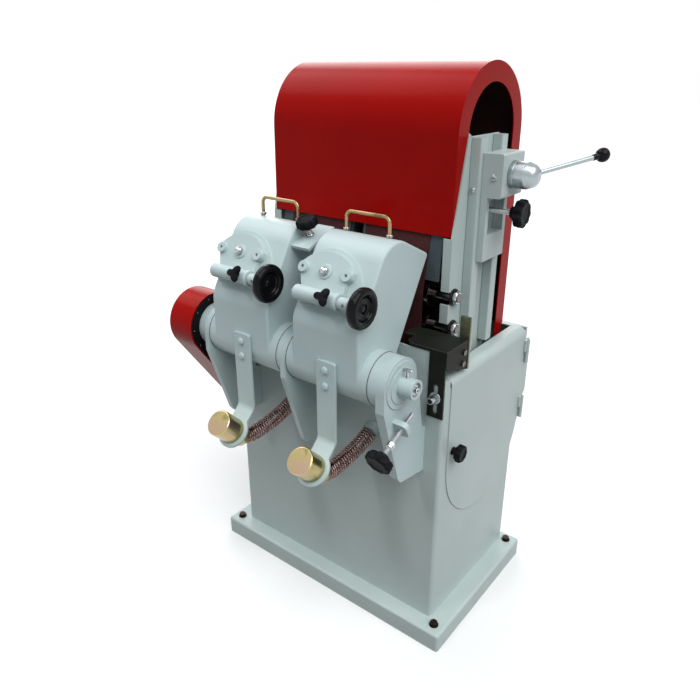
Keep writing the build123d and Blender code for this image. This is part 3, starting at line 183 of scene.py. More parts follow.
def abrasiveCloth(name, dark, light):
    finish, tree, where = startFinish(name)
    grit = addNode(tree, "TexVoronoi", {"Vector": where, "Scale": acrossMm(gritCoat["gritMm"])})
    wear = addNode(tree, "TexNoise", {"Vector": where, "Scale": acrossMm(gritCoat["wearMm"]),
                                      "Detail": 5.0, "Roughness": 0.65})
    both = addNode(tree, "Math", {0: grit.outputs["Distance"], 1: wear.outputs["Fac"]}, operation="MULTIPLY")
    tone = addNode(tree, "ValToRGB", {"Fac": both.outputs[0]}, ((0.1, dark), (0.45, light)))
    skin = addNode(tree, "Bump", {"Strength": gritCoat["strength"], "Distance": gritCoat["deepMm"] * mm,
                                  "Height": grit.outputs["Distance"]})
    closeFinish(tree, {"Base Color": tone.outputs["Color"], "Roughness": 0.8, "Specular IOR Level": 0.2,
                       "Normal": skin.outputs["Normal"]})
    return finish


# Graphite cloth and belting: a matt woven face. Real threads are under 1 mm; they are drawn at 4 mm so
# that they show.
weave = {"unit": 1 / 6.28, "deepMm": 0.15, "strength": 0.25}  # unit: a thread's width at scale 1


def wovenFace(name, dark, light, rough, threadMm):
    finish, tree, where = startFinish(name)
    threads = {"Vector": where, "Scale": acrossMm(threadMm) * weave["unit"], "Distortion": 0.5}
    warp = addNode(tree, "TexWave", threads, bands_direction="X")
    weft = addNode(tree, "TexWave", threads, bands_direction="Z")
    cross = addNode(tree, "Math", {0: warp.outputs["Fac"], 1: weft.outputs["Fac"]}, operation="MULTIPLY")
    tone = addNode(tree, "ValToRGB", {"Fac": cross.outputs[0]}, ((0.0, dark), (1.0, light)))
    skin = addNode(tree, "Bump", {"Strength": weave["strength"], "Distance": weave["deepMm"] * mm,
                                  "Height": cross.outputs[0]})
    closeFinish(tree, {"Base Color": tone.outputs["Color"], "Roughness": rough, "Specular IOR Level": 0.3,
                       "Normal": skin.outputs["Normal"]})
    return finish


enamels = {  # dark, light, edge colour (rubbed paint on the work rest, painted edge highlight on the others), roughness, gloss, peel mm, peel depth mm, edge mm
    "sheetEnamel": ("paleGreyEnamelOnSheet", "#b3c1bf", "#b9c7c5", "#c6d2d0", 0.4, 0.3, 5, 0.05, 1.5),
    # On castings the pale grey is drawn lighter and bluer than on sheet; the extra lightness is painted
    # light, standing in for the stronger light that the heads' upward-sloping faces catch.
    "castEnamelLightened": ("paleGreyEnamelOnCasting", "#b7c9ca", "#becfd0", "#cfdcdd", 0.36, 0.34, 8, 0.14, 2.2),
    "redEnamel": ("redEnamelOnSheet", "#9d0b07", "#a50c08", "#b41c16", 0.22, 0.05, 9, 0.03, 1.5),
    "blackEnamel": ("blackEnamelOnSheet", "#0b0a0c", "#121114", "#201f22", 0.4, 0.12, 4, 0.08, 0.9),
    "restEnamel": ("satinBlackEnamelOnPlate", "#1a1c19", "#282a25", "#77776c", 0.36, 0.045, 4, 0.08, 2.6),
    "hoodInside": ("mattBlackUndercoat", "#3d2a25", "#4a332d", "#4f3a33", 0.8, 0.04, 3, 0.1, 0.5),
    "darkEnamel": ("darkGreyEnamelOnCasting", "#3c4042", "#464a4c", "#55595b", 0.45, 0.3, 6, 0.12, 1.5),
}
zincs = {  # straw, rose, olive, roughness
    "zinc": ("yellowPassivatedZinc", "#b5a776", "#bb9f8a", "#87814d", 0.2),
    "zincWire": ("yellowZincOnWire", "#97855c", "#a28466", "#736543", 0.24),
}
metals = {  # dark, light, roughness, line mm, stretch of the lines, edge mm
    "springWire": ("bronzedSpringWire", "#46312d", "#a48985", 0.16, 5, (1, 1, 1), 0.3),
    "brightSteel": ("turnedSteel", "#8d9194", "#b4b8bb", 0.28, 2.5, (5, 1, 1), 0.5),
    "polishedSteel": ("polishedSteel", "#9a9ea0", "#c2c6c8", 0.17, 3, (7, 1, 1), 0.4),
    "blackSteel": ("blackOxideSteel", "#2b2523", "#3a3230", 0.4, 3, (1, 1, 1), 0.5),
    "darkRoller": ("groundRollerSteel", "#514b4c", "#746d6e", 0.17, 6, (6, 1, 1), 0.5),
    "oliveSteel": ("oliveDrabSteel", "#62654f", "#7f8169", 0.42, 20, (1, 1, 3), 0.5),
    "brushedSteel": ("brushedNickelSteel", "#8b9497", "#b2babc", 0.27, 2, (9, 1, 1), 0.8),
    "aluminium": ("turnedAluminium", "#a9abad", "#c2c4c6", 0.32, 3, (6, 1, 1), 0.6),
}
mouldings = {  # dark, light, roughness, gloss
    "phenolic": ("polishedBlackPhenolic", "#07080a", "#0d0e12", 0.06, 0.1),
    "knobPlastic": ("blackNylonMoulding", "#131517", "#1e2023", 0.4, 0.03),
    "tyre": ("castPolyurethaneTyre", "#1f1a19", "#2a2322", 0.5, 0.3),
}
cloths = {  # dark, light, roughness, thread mm
    "graphite": ("graphiteClothFacing", "#3f494f", "#49545a", 0.6, 4),
    "belting": ("wovenRubberBelting", "#151515", "#202020", 0.7, 4),
}
finishes = {"abrasive": abrasiveCloth("resinBondedAbrasiveCloth", "#35181a", "#562b2b")}
for make, rows in ((enamel, enamels), (passivatedZinc, zincs), (machinedMetal, metals),
                   (moulded, mouldings), (wovenFace, cloths)):
    finishes.update({key: make(*row) for key, row in rows.items()})
finishOf = {
    "sheetEnamel": ["base_tray", "cabinet", "side_columns", "door",
                    "tension_slide_right", "tension_slide_left"],
    "castEnamelLightened": ["bracket_right", "bracket_left", "bracket_middle", "head_casing_right",
                   "head_casing_left", "angle_plate_right", "angle_plate_left",
                   "spring_arm_right", "spring_arm_left"],
    "redEnamel": ["hood", "guard_cover"],
    "blackEnamel": ["guard_back_plate"],
    "restEnamel": ["work_rest"],
    "darkEnamel": ["inner_frame", "feed_motor", "sander_motor"],
    "zincWire": ["bow_handle_right", "bow_handle_left"],
    "zinc": ["spring_cup_right", "spring_cup_left"],
    "springWire": ["spring_right", "spring_left"],
    "brightSteel": ["feed_shaft", "feed_motor_pulley", "motor_pulley", "feed_yoke_right",
                    "feed_yoke_left", "frame_fasteners"],
    "brushedSteel": ["tension_lever"],
    "blackSteel": ["floor_bolts"],
    "darkRoller": ["contact_axles", "contact_rollers_upper", "contact_rollers_lower"],
    "oliveSteel": ["rest_guide"],
    "phenolic": ["handwheel_right", "handwheel_left"],
    "knobPlastic": ["lock_knob_right", "lock_knob_left", "tracking_knob", "door_knob", "adjuster",
                    "stop_knob"],
    "graphite": ["belt_platens"],
    "belting": ["feed_drive_belt", "main_drive_belt", "head_belt_right", "head_belt_left"],
    "tyre": ["feed_wheel_right", "feed_wheel_left"],
    "abrasive": ["sanding_belt_right", "sanding_belt_left"],
    "aluminium": ["drive_drums", "upper_roller_right", "upper_roller_left"],
}
for finish, names in finishOf.items():
    for name in names:
        for slot in nodes[name].material_slots:
            slot.material = finishes[finish]
print("finishes:", len(finishes))


# Rings of points, each closed on itself and joined to the next. A loop's last ring is joined to its
# first; otherwise a fan closes the first ring and the last.
def ringMesh(name, points, finish, sharp=35, loop=False):
    rings, around = points.shape[:2]
    step = np.arange(around)
    ahead = (step + 1) % around
    ring = np.arange(rings if loop else rings - 1)[:, None]
    here, there = ring * around, (ring + 1) % rings * around
    quads = np.stack([here + step, here + ahead, there + ahead, there + step], -1).reshape(-1, 4)
    verts = points.reshape(-1, 3)
    fans = np.empty((0, 3), int)
    if not loop:
        verts = np.vstack([verts, points[0].mean(0), points[-1].mean(0)])
        last = (rings - 1) * around
        foot = np.full(around, rings * around)
        fans = np.vstack([np.stack([ahead, step, foot], -1),
                          np.stack([last + step, last + ahead, foot + 1], -1)])
    corner = verts[np.vstack([quads[:, [0, 1, 2]], quads[:, [0, 2, 3]], fans])] - verts.mean(0)
    volume = np.einsum("ij,ij->", corner[:, 0], np.cross(corner[:, 1], corner[:, 2]))
    if volume < 0:  # inside out: turn every face round
        quads, fans = quads[:, ::-1], fans[:, ::-1]
    mesh = bpy.data.meshes.new(name)
    mesh.from_pydata(verts.tolist(), [], quads.tolist() + fans.tolist())
    mesh.polygons.foreach_set("use_smooth", np.ones(len(mesh.polygons), bool))
    mesh.set_sharp_from_angle(angle=math.radians(sharp))
    mesh.materials.append(finishes[finish])
    piece = bpy.data.objects.new(name, mesh)
    bpy.context.scene.collection.objects.link(piece)
    return piece


def oneTurn(count, halfway=False):  # evenly spaced angles of one turn, or the angles halfway between them
    return (np.arange(count) + (0.5 if halfway else 0)) * 2 * np.pi / count


def easedSide(swing, half, ease):  # a side of a flat bar's section, its corners quarter circles
    return np.sign(swing) * (half - ease) + ease * swing


def crossAxes(axis, side=(1, 0, 0)):  # the unit axis and two unit vectors square to it
    axis = np.array(axis, float) / np.linalg.norm(axis)
    first = np.array(side, float) - axis * np.dot(side, axis)
    if np.linalg.norm(first) < 1e-3:
        first = np.array((0, 0, 1.0)) - axis * axis[2]
    first /= np.linalg.norm(first)
    return axis, first, np.cross(axis, first)


# Soft profile: (radius, height, rounding) corners, each turned into a curve that is drawn towards the
# corner from both sides.
def softProfile(corners):
    pts = np.array([c[:2] for c in corners], float)
    t = np.linspace(0, 1, 9)[:, None]
    out = [pts[:1]]
    for back, here, on, (_, _, rounding) in zip(pts, pts[1:], pts[2:], corners[1:]):
        runIn, runOut = np.linalg.norm(back - here), np.linalg.norm(on - here)
        cut = min(rounding, 0.49 * runIn, 0.49 * runOut)  # neighbouring curves don't meet
        start = here + (back - here) / runIn * cut
        end = here + (on - here) / runOut * cut
        out.append((1 - t) ** 2 * start + 2 * t * (1 - t) * here + t ** 2 * end)
    return np.vstack(out + [pts[-1:]])


# Turned piece: a profile of radius and height carried round an axis. A profile with roundings is
# softened first, and the radius may be reshaped for each angle.
def turned(name, profile, origin, axis, finish, around=64, reshape=None, side=(1, 0, 0), sharp=35):
    profile = softProfile(profile) if len(profile[0]) == 3 else np.array(profile)
    axis, first, second = crossAxes(axis, side)
    t = oneTurn(around)
    radius = np.repeat(profile[:, :1], around, 1)
    if reshape:
        radius = reshape(radius, profile[:, 1:], t[None, :])
    spin = np.cos(t)[:, None] * first + np.sin(t)[:, None] * second
    points = np.array(origin, float) + profile[:, 1, None, None] * axis + radius[:, :, None] * spin
    return ringMesh(name, points * mm, finish, sharp)


def settle(piece, body, slot, *replaced):  # ride on a body and stand for CAD nodes
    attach(piece, body)
    if replaced:
        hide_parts(*replaced)


def bendBetween(piece, node):  # bake its placement into its points, and stand for a CAD node
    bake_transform(piece)
    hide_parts(node)


def hexReach(t):  # how far a hexagon of half-width 1 reaches at an angle
    return 1 / np.cos((t + np.pi / 6) % (np.pi / 3) - np.pi / 6)


# Hexagon nut: the radius is that of the flat it meets, and no more than the chamfer's cone at that
# height. A dome makes it a cap nut.
def hexNut(name, flats, low, high, origin, axis, finish, dome=0.0):
    bore, face, bevel, corner, cap = 0.25, 0.47, 0.53, 0.6, 0.44  # radii in widths across flats
    rise = 0.13 * flats  # the chamfer's height
    profile = [(bore, low), (face, low), (bevel, low + rise / 2), (corner, low + rise),
               (corner, high - rise), (bevel, high - rise / 2), (face, high)]
    if dome:
        a = np.linspace(0, 0.97, 12) * np.pi / 2
        profile += list(zip(cap * np.cos(a), high + 0.2 + dome * np.sin(a)))
    else:
        profile += [(bore, high)]
    return turned(name, np.array(profile) * (flats, 1), origin, axis, finish, 72, sharp=26,
                  reshape=lambda r, h, t: np.minimum(r, flats / 2 * hexReach(t)))


# Screw thread: the radius falls and rises with height less a share of the angle, one pitch for each
# turn. It runs out at both ends.
def threadedStud(name, radius, low, high, pitch, origin, axis, finish):
    deep, rings = 0.12, 8  # depth as a share of the radius, rings for each pitch
    h = np.linspace(low, high, int((high - low) / pitch * rings) + 1)
    fade = np.clip(np.minimum(h - low, high - h) / pitch, 0, 1)
    profile = np.stack([radius * (1 - deep + deep * fade), h], 1)

    def cutThread(r, z, t):
        return r - deep * radius * (0.5 + 0.5 * np.cos(2 * np.pi * z / pitch - t))

    return turned(name, profile, origin, axis, finish, 28, cutThread, sharp=80)


# Socket screw: a round head whose inner rings follow a hexagon down into the socket.
def socketScrew(name, radius, height, origin, axis, finish):
    key, pole, sunk = radius * 0.46, 0.3, 0.2  # socket's half-width, rings at the poles, depth in its seat
    profile = [(pole, -sunk), (radius, -sunk), (radius, height * 0.86), (radius * 0.9, height),
               (key * 1.12, height), (key, height - 0.3), (key * 0.98, height * 0.35), (pole, height * 0.33)]
    inner = np.array([0, 0, 0, 0, 0, 1, 1, 0])[:, None]
    return turned(name, profile, origin, axis, finish, 48, sharp=30,
                  reshape=lambda r, h, t: np.where(inner == 1, r * hexReach(t), r))


# Slotted round head facing the front: a dome whose middle band is pressed down to a flat-bottomed slot.
def slottedHead(name, radius, origin, finish):
    skirt, crown, slotHalf, slotFloor = radius * np.array((0.3, 0.32, 0.15, 0.25))
    a = np.linspace(0.15, 1.5, 22)
    r = np.concatenate([[radius, radius], radius * np.cos(a)])[:, None]
    rise = np.concatenate([[0, skirt], skirt + crown * np.sin(a)])[:, None]
    t = oneTurn(72)
    across = r * np.sin(t)
    h = np.where((np.abs(across) < slotHalf) & (rise > slotFloor), slotFloor, rise)
    points = np.stack([origin[0] + r * np.cos(t), origin[1] - h, origin[2] + across], -1)
    return ringMesh(name, points * mm, finish, sharp=30)


headX = {"right": 141.0, "left": -141.0}
pivot = (-324.0, 817.0)  # the heads' pivot line, y and z
sideways = np.array((1.0, 0, 0))
slopeUp = np.array((0, 0.5, math.sqrt(0.75)))  # up along the heads' sloped front
slopeOut = np.array((0, -math.sqrt(0.75), 0.5))  # square out of it
slopeFoot = (-390.0, 940.0)


def onSlope(x, up, out):
    return np.array((x, *slopeFoot)) + up * slopeUp + out * slopeOut


# Coil spring: a helix about a path of two arcs, a tight one under the cup and a long one to the cabinet.
coil = {"offset": 10.0, "start": (-430.05, 572.79), "kneeRadius": 70.0, "endAngle": 22.0, "endY": -222.0,
        "turns": 25, "radius": 19.3, "wire": 2.8, "steps": 40, "wireSides": 10}


def springPath(x, count):
    knee = np.array(coil["start"]) + coil["kneeRadius"] * math.sqrt(0.5)
    end = math.radians(coil["endAngle"])
    longRadius = (coil["endY"] - knee[0]) / math.sin(end)
    kneeRun = coil["kneeRadius"] * math.pi / 4
    s = np.linspace(0, kneeRun + longRadius * end, count)
    inKnee = s < kneeRun
    angle = np.where(inKnee, s / coil["kneeRadius"] - math.pi / 4, (s - kneeRun) / longRadius)
    radius = np.where(inKnee, coil["kneeRadius"], longRadius)
    y = knee[0] + radius * np.sin(angle)
    z = knee[1] - coil["kneeRadius"] + radius * (1 - np.cos(angle))
    ahead = np.stack([0 * angle, np.cos(angle), np.sin(angle)], 1)
    return np.stack([np.full(count, x), y, z], 1), ahead


for side, x in headX.items():
    count = coil["turns"] * coil["steps"]
    path, ahead = springPath(x + coil["offset"], count)
    turn = np.linspace(0, 2 * np.pi * coil["turns"], count)[:, None]
    outward = np.cos(turn) * sideways + np.sin(turn) * np.cross(sideways, ahead)
    helix = path + coil["radius"] * outward
    beside = np.cross(np.gradient(helix, axis=0), outward)
    beside /= np.linalg.norm(beside, axis=1)[:, None]
    a = oneTurn(coil["wireSides"])[None, :, None]
    points = helix[:, None] + coil["wire"] * (np.cos(a) * outward[:, None] + np.sin(a) * beside[:, None])
    spring = ringMesh("coil_spring_" + side, points * mm, "springWire", sharp=80)
    bendBetween(spring, "spring_" + side)
print("springs done")

# Head belt: a flat band carried round the shaft's pulley and the feed wheel's, with straight runs between. It
# twists with the feed wheel.
band = {"low": np.array(pivot), "high": onSlope(0, 120, -145)[1:], "radii": (36.1, 28.1), "thick": 3.8,
        "wide": 14.0, "ease": 0.8, "from": 52.0, "hold": (44.0, 36.0), "runSteps": 16}
reachOver = band["high"] - band["low"]
apart = np.linalg.norm(reachOver)
heading = math.atan2(reachOver[1], reachOver[0])
wrap = math.acos((band["radii"][0] - band["radii"][1]) / apart)
lowTurn = np.linspace(heading + wrap, heading + 2 * np.pi - wrap, 48)
highTurn = np.linspace(heading - wrap, heading + wrap, 40)
run = np.linspace(0, 1, band["runSteps"] + 2)[1:-1]
turn = np.concatenate([lowTurn, 0 * run + lowTurn[-1], highTurn, 0 * run + lowTurn[0]])
share = np.concatenate([0 * lowTurn, run, 0 * highTurn + 1, run[::-1]])[:, None]  # 0 low, 1 high
outward = np.stack([0 * turn, np.cos(turn), np.sin(turn)], 1)
radius = band["radii"][0] + share * (band["radii"][1] - band["radii"][0]) + band["thick"] / 2
line = np.insert(band["low"] + share * reachOver, 0, 0, 1) + radius * outward
t = oneTurn(24, True)
across = easedSide(np.cos(t), band["wide"] / 2, band["ease"])[None, :, None] * sideways
rise = easedSide(np.sin(t), band["thick"] / 2, band["ease"])[None, :, None] * outward[:, None]
end = np.insert(band["high"] - reachOver / apart * band["hold"][1], 0, 0)
for side, x in headX.items():
    middle = (x + band["from"] + band["wide"] / 2) * sideways
    points = middle + line[:, None] + across + rise
    piece = ringMesh("twisting_belt_" + side, points * mm, "belting", loop=True)
    bendBetween(piece,
                "head_belt_" + side)

# Spring cup: turned from bar and plated, with a neck through the strap's ring and a collar behind it.
cup = {"ring": (-447.23, 589.97), "axis": (0, -1, 1),
       "profile": [(0.4, 67.9, 0), (34.9, 67.9, 4), (34.9, 4.4, 2), (21.8, 4.4, 0.5), (21.8, -4.4, 0.5),
                   (28.9, -4.4, 2), (28.9, -38, 2), (24, -38, 1), (24, -23.9, 1), (15.4, -23.9, 1),
                   (15.4, -35.5, 2), (0.4, -35.5, 0)]}
for side, x in headX.items():
    at = (x + coil["offset"], *cup["ring"])
    piece = turned("plated_cup_" + side, cup["profile"], at, cup["axis"], "zinc", 96)
    settle(piece, "head_" + side, "yellow_zinc", "spring_cup_" + side)

# Spring strap: a flat bar with eased edges carried down the casing, round a bend and out to its ring.
# Its upper end has round corners, so there the half-width follows a quarter circle.
strap = {"wide": 57.0, "thick": 8.0, "ease": 1.5, "corner": 6.0, "y": -394.2, "top": 856.0,
         "bendZ": 643.0, "bendRadius": 26.0, "ring": [(0.4, 4, 0), (45, 4, 1.5), (45, -4, 1.5), (0.4, -4, 0)],
         "boltHeights": {"upper": 834.0, "lower": 793.0}, "flats": 18.5, "high": 5.0, "dome": 2.2}
bendTop = strap["bendZ"] + strap["bendRadius"] * math.tan(math.pi / 8)
a = np.linspace(0, np.pi / 4, 16)
down = np.concatenate([np.linspace(0, strap["corner"], 9),
                       np.linspace(strap["corner"], strap["top"] - bendTop, 12)[1:]])
bendLine = np.stack([strap["y"] - strap["bendRadius"] * (1 - np.cos(a)),
                     bendTop - strap["bendRadius"] * np.sin(a)], 1)
line = np.vstack([np.stack([0 * down + strap["y"], strap["top"] - down], 1), bendLine[1:], [cup["ring"]]])
lean = np.concatenate([0 * down, a[1:], [np.pi / 4]])  # how far the bar leans forwards at each point
square = np.stack([0 * lean, -np.cos(lean), np.sin(lean)], 1)  # square out of the bar's face
short = np.zeros(len(line))
short[:len(down)] = np.clip(strap["corner"] - down, 0, None)
halfWide = strap["wide"] / 2 - strap["corner"] + np.sqrt(strap["corner"] ** 2 - short ** 2)
t = oneTurn(48, True)
along = easedSide(np.cos(t), halfWide[:, None], strap["ease"])[:, :, None] * sideways
over = easedSide(np.sin(t), strap["thick"] / 2, strap["ease"])[None, :, None] * square[:, None]
for side, x in headX.items():
    owner = ("head_" + side, "pale_grey_paint", "spring_arm_" + side)
    middle = np.insert(line, 0, x + coil["offset"], 1)[:, None]
    settle(ringMesh("spring_strap_" + side, (middle + along + over) * mm, "castEnamelLightened"), *owner)
    at = (x + coil["offset"], *cup["ring"])
    settle(turned("strap_ring_" + side, strap["ring"], at, cup["axis"], "castEnamelLightened", 80), *owner)
    for level, z in strap["boltHeights"].items():
        seat = (at[0], strap["y"] - strap["thick"] / 2, z)
        bolt = hexNut("strap_bolt_%s_%s" % (level, side), strap["flats"], 0, strap["high"], seat, (0, -1, 0),
                      "castEnamelLightened", strap["dome"])
        settle(bolt, *owner)

# Dished handwheel: a fat round rim, a web set back from its face, a short boss, and the shaft with its
# collar. The cross tube gets a ring at that end and a plug at the other.
wheel = {"up": 58.0, "out": 31.0, "start": 101.5,
         "rim": [(0.4, 11, 0), (7, 11, 2), (10, 8, 3), (19, 7, 6), (25.5, 9, 6), (28.5, 16.5, 5),
                 (34, 19.6, 7), (42, 18.8, 8), (47.6, 13, 8), (47.6, 1, 10), (41, -5, 7), (34, -5.6, 5),
                 (28, -4.5, 5), (20, -4, 6), (13, -4, 2), (12.5, -7.5, 1.5), (0.4, -7.5, 0)],
         "shaft": [(0.4, -80, 0), (6.9, -80, 1), (6.9, -7, 0.2), (0.4, -7, 0)],
         "collar": [(6, -54.5, 0), (14.2, -54.5, 1.5), (14.2, -27, 3), (11, -25, 1), (6, -25, 0)],
         "screw": {"along": -36.0, "out": 13.6, "droop": 0.5, "radius": 3.4, "high": 0.9},
         "ring": [(17, 34, 0), (19.8, 34, 1), (19.8, 45.9, 2.5), (13, 45.9, 1), (13, 34, 0)],
         "plug": [(0.4, -90, 0), (7, -90, 2), (9.5, -86, 2), (9.5, -80.5, 0.4), (0.4, -80.5, 0)]}
wheelPieces = {  # profile, finish, points around, slot
    "dished_wheel_": ("rim", "phenolic", 120, "black_plastic"),
    "wheel_shaft_": ("shaft", "brightSteel", 48, "bright_steel"),
    "wheel_collar_": ("collar", "castEnamelLightened", 48, "pale_grey_paint"),
}
screw = wheel["screw"]
facing = slopeOut - screw["droop"] * slopeUp  # the set screw looks out and down a little
facing /= np.linalg.norm(facing)
for side, x in headX.items():
    body = "handwheel_" + side
    origin = onSlope(x + wheel["start"], wheel["up"], wheel["out"])
    for name, (part, finish, around, slot) in wheelPieces.items():
        settle(turned(name + side, wheel[part], origin, sideways, finish, around), body, slot, body)
    seat = origin + screw["along"] * sideways + screw["out"] * facing
    setScrew = socketScrew("set_screw_" + side, screw["radius"], screw["high"], seat, facing, "blackSteel")
    settle(setScrew, body, "dark_steel", body)
    tube = onSlope(x, wheel["up"], wheel["out"])
    for part in ("ring", "plug"):
        piece = turned("tube_%s_%s" % (part, side), wheel[part], tube, sideways, "castEnamelLightened")
        settle(piece, "head_" + side, "pale_grey_paint")

# Three-lobed lock knob: the radius swells from a core to the tip of each lobe with a power of a cosine.
lock = {"offset": 17.0, "seat": 18.1, "lobes": 3, "core": 8.5, "valley": 0.12, "power": 0.95,
        "profile": [(0.4, 17.5, 0), (11, 17.5, 4), (23, 15, 5), (23, 6, 5), (11, 4, 4), (8.7, 0.6, 1),
                    (0.4, 0.6, 0)]}


def threeLobes(r, h, t):
    swell = (0.5 + 0.5 * np.cos(lock["lobes"] * t)) ** lock["power"]
    reach = lock["valley"] + (1 - lock["valley"]) * swell
    return np.where(r > lock["core"], lock["core"] + (r - lock["core"]) * reach, r)


for side, x in headX.items():
    origin = onSlope(x + lock["offset"], wheel["up"], wheel["out"] + lock["seat"])
    knob = turned("lock_knob_moulding_" + side, lock["profile"], origin, slopeOut, "knobPlastic", 96,
                  threeLobes, side=(-1, 0, 0), sharp=50)
    settle(knob, "lock_knob_" + side, "black_plastic", "lock_knob_" + side)

# Swivel bolt: a painted washer and a bright cap nut on the slope.
swivel = {"offset": -30.0, "up": 120.0, "seat": 16.3, "flats": 20.0, "low": 3.0, "high": 12.0, "dome": 6.0,
          "washer": [(0.4, 3.2, 0), (17.4, 3.2, 1.5), (18.4, 0, 0.5), (0.4, 0, 0)]}
for side, x in headX.items():
    origin = onSlope(x + swivel["offset"], swivel["up"], swivel["seat"])
    washer = turned("swivel_washer_" + side, swivel["washer"], origin, slopeOut, "castEnamelLightened", 48)
    settle(washer, "feed_yoke_" + side, "pale_grey_paint")
    nut = hexNut("swivel_cap_nut_" + side, swivel["flats"], swivel["low"], swivel["high"], origin, slopeOut,
                 "polishedSteel", swivel["dome"])
    settle(nut, "feed_yoke_" + side, "bright_steel")

# Bow handle feet: a bright nut at each foot.
feet = {"span": 63.0, "y": -225.0, "z": 1122.3, "flats": 14.0, "high": 7.6}
for side, x in headX.items():
    for end, sign in (("a", -1), ("b", 1)):
        origin = (x + sign * feet["span"], feet["y"], feet["z"])
        nut = hexNut("handle_nut_%s_%s" % (side, end), feet["flats"], 0.0, feet["high"], origin, (0, 0, 1),
                     "polishedSteel")
        settle(nut, "head_" + side, "bright_steel")
print("head fittings done")


# Hand knob: a thick blank with a shallow dish in its face, on a neck.
def handKnob(radius, thick, neck, neckLength):
    top = neckLength + thick
    face = [(0.4, top - 2.4, 0), (radius * 0.5, top - 2.2, 3), (radius * 0.66, top, 2)]
    rim = [(radius * 0.86, top - 0.4, 3), (radius, top - 4.5, 4), (radius, neckLength + 4, 5)]
    back = [(radius * 0.78, neckLength + 0.4, 5), (neck + 2.5, neckLength, 3)]
    return face + rim + back + [(neck, neckLength * 0.6, 1.5), (neck, 0, 0.4), (0.4, 0, 0)]


# Flutes: the knob's rim is drawn in at each flute by a power of a cosine, more the further out.
fluting = {"count": 9, "deep": 0.15, "power": 1.4, "from": 0.6}


def flutes(r, h, t):
    share = np.clip((r / r.max() - fluting["from"]) / (1 - fluting["from"]), 0, 1)
    hollow = (0.5 - 0.5 * np.cos(fluting["count"] * t)) ** fluting["power"]
    return r * (1 - fluting["deep"] * share * hollow)


# Stop knob, adjuster, door knob and tracking knob: each stands on its axis, the first on a leaning tab.
stop = {"lean": math.radians(20), "x": -19.0, "root": (-293.0, 1072.0), "reach": 52.5, "knob": 31.0}
stopAxis = np.array((0, -math.sin(stop["lean"]), math.cos(stop["lean"])))
stopTab = np.array((stop["x"], *stop["root"])) + stop["reach"] * np.cross(stopAxis, sideways)  # lower face
adjust = {"droop": math.radians(26), "lug": np.array((332.0, -340.0, 718.0)), "knob": 81.0}
adjustAxis = np.array((0, -math.cos(adjust["droop"]), -math.sin(adjust["droop"])))
doorKnob = np.array((364.2, -150.0, 576.0))
tracking = np.array((378.4, 38.0, 1160.0))
handKnobs = {  # seat, axis, then radius, thickness, neck radius, neck length
    "stop_knob": (stopTab + stop["knob"] * stopAxis, stopAxis, 27.9, 23.9, 9, 3),
    "adjuster": (adjust["lug"] + adjust["knob"] * adjustAxis, adjustAxis, 33.9, 24, 14.5, 7),
    "door_knob": (doorKnob, sideways, 23.9, 20, 10.8, 11.8),
    "tracking_knob": (tracking, sideways, 34.9, 25, 14.5, 11.8),
}
for name, (at, axis, *sizes) in handKnobs.items():
    knob = turned(name + "_moulding", handKnob(*sizes), at, axis, "knobPlastic", 180, flutes,
                  side=(0.2, 0.3, 1), sharp=50)
    settle(knob, name, "black_plastic", name)
studs = {  # radius, low, high, pitch
    "stop_knob": (5.9, -29.5, 36.0, 2.5, stopTab, stopAxis),
    "adjuster": (5.9, -45.5, 84.0, 2.5, adjust["lug"], adjustAxis),
    "tracking_knob": (6.9, -76.5, 4.0, 3.0, tracking, sideways),
}
for name, stud in studs.items():
    settle(threadedStud(name + "_stud", *stud, "brightSteel"), name, "bright_steel", name)
knobNuts = {  # body, flats, low, high
    "stop_under_nut": ("stop_knob", 18.0, -11.9, -2.1, stopTab, stopAxis),
    "stop_lock_nut": ("stop_knob", 18.0, 9.1, 15.0, stopTab, stopAxis),
    "adjuster_nut": ("adjuster", 16.5, 44.0, 54.0, adjust["lug"], adjustAxis),
    "adjuster_lock_nut": ("adjuster", 16.5, 54.3, 59.0, adjust["lug"], adjustAxis),
}
for name, (body, *nut) in knobNuts.items():
    settle(hexNut(name, *nut, "polishedSteel"), body, "bright_steel", body)

# Door catch: a pin through the door, and behind it a tongue, an outline with round ends carried a short
# way sideways.
catch = {"pin": [(0.4, -13.2, 0), (4.9, -13.2, 0.5), (4.9, 0.5, 0.2), (0.4, 0.5, 0)], "half": 7.9,
         "low": -0.1, "high": 22.0, "inner": 351.1, "outer": 355.9, "ease": 0.6}
pin = turned("door_catch_pin", catch["pin"], doorKnob, sideways, "brightSteel", 32)
settle(pin, "door_knob", "bright_steel", "door_knob")
t = oneTurn(48)
ends = np.where(np.sin(t) < 0, catch["low"], catch["high"])
ease = catch["ease"]
depth = np.array([catch["inner"], catch["inner"] + ease, catch["outer"] - ease, catch["outer"]])[:, None]
reach = catch["half"] - np.array([ease, 0, 0, ease])[:, None]
points = np.stack([depth + 0 * t, doorKnob[1] + reach * np.cos(t),
                   doorKnob[2] + ends + reach * np.sin(t)], -1)
settle(ringMesh("door_catch_tongue", points * mm, "brightSteel"), "door_knob", "bright_steel", "door_knob")
print("hand knobs done")

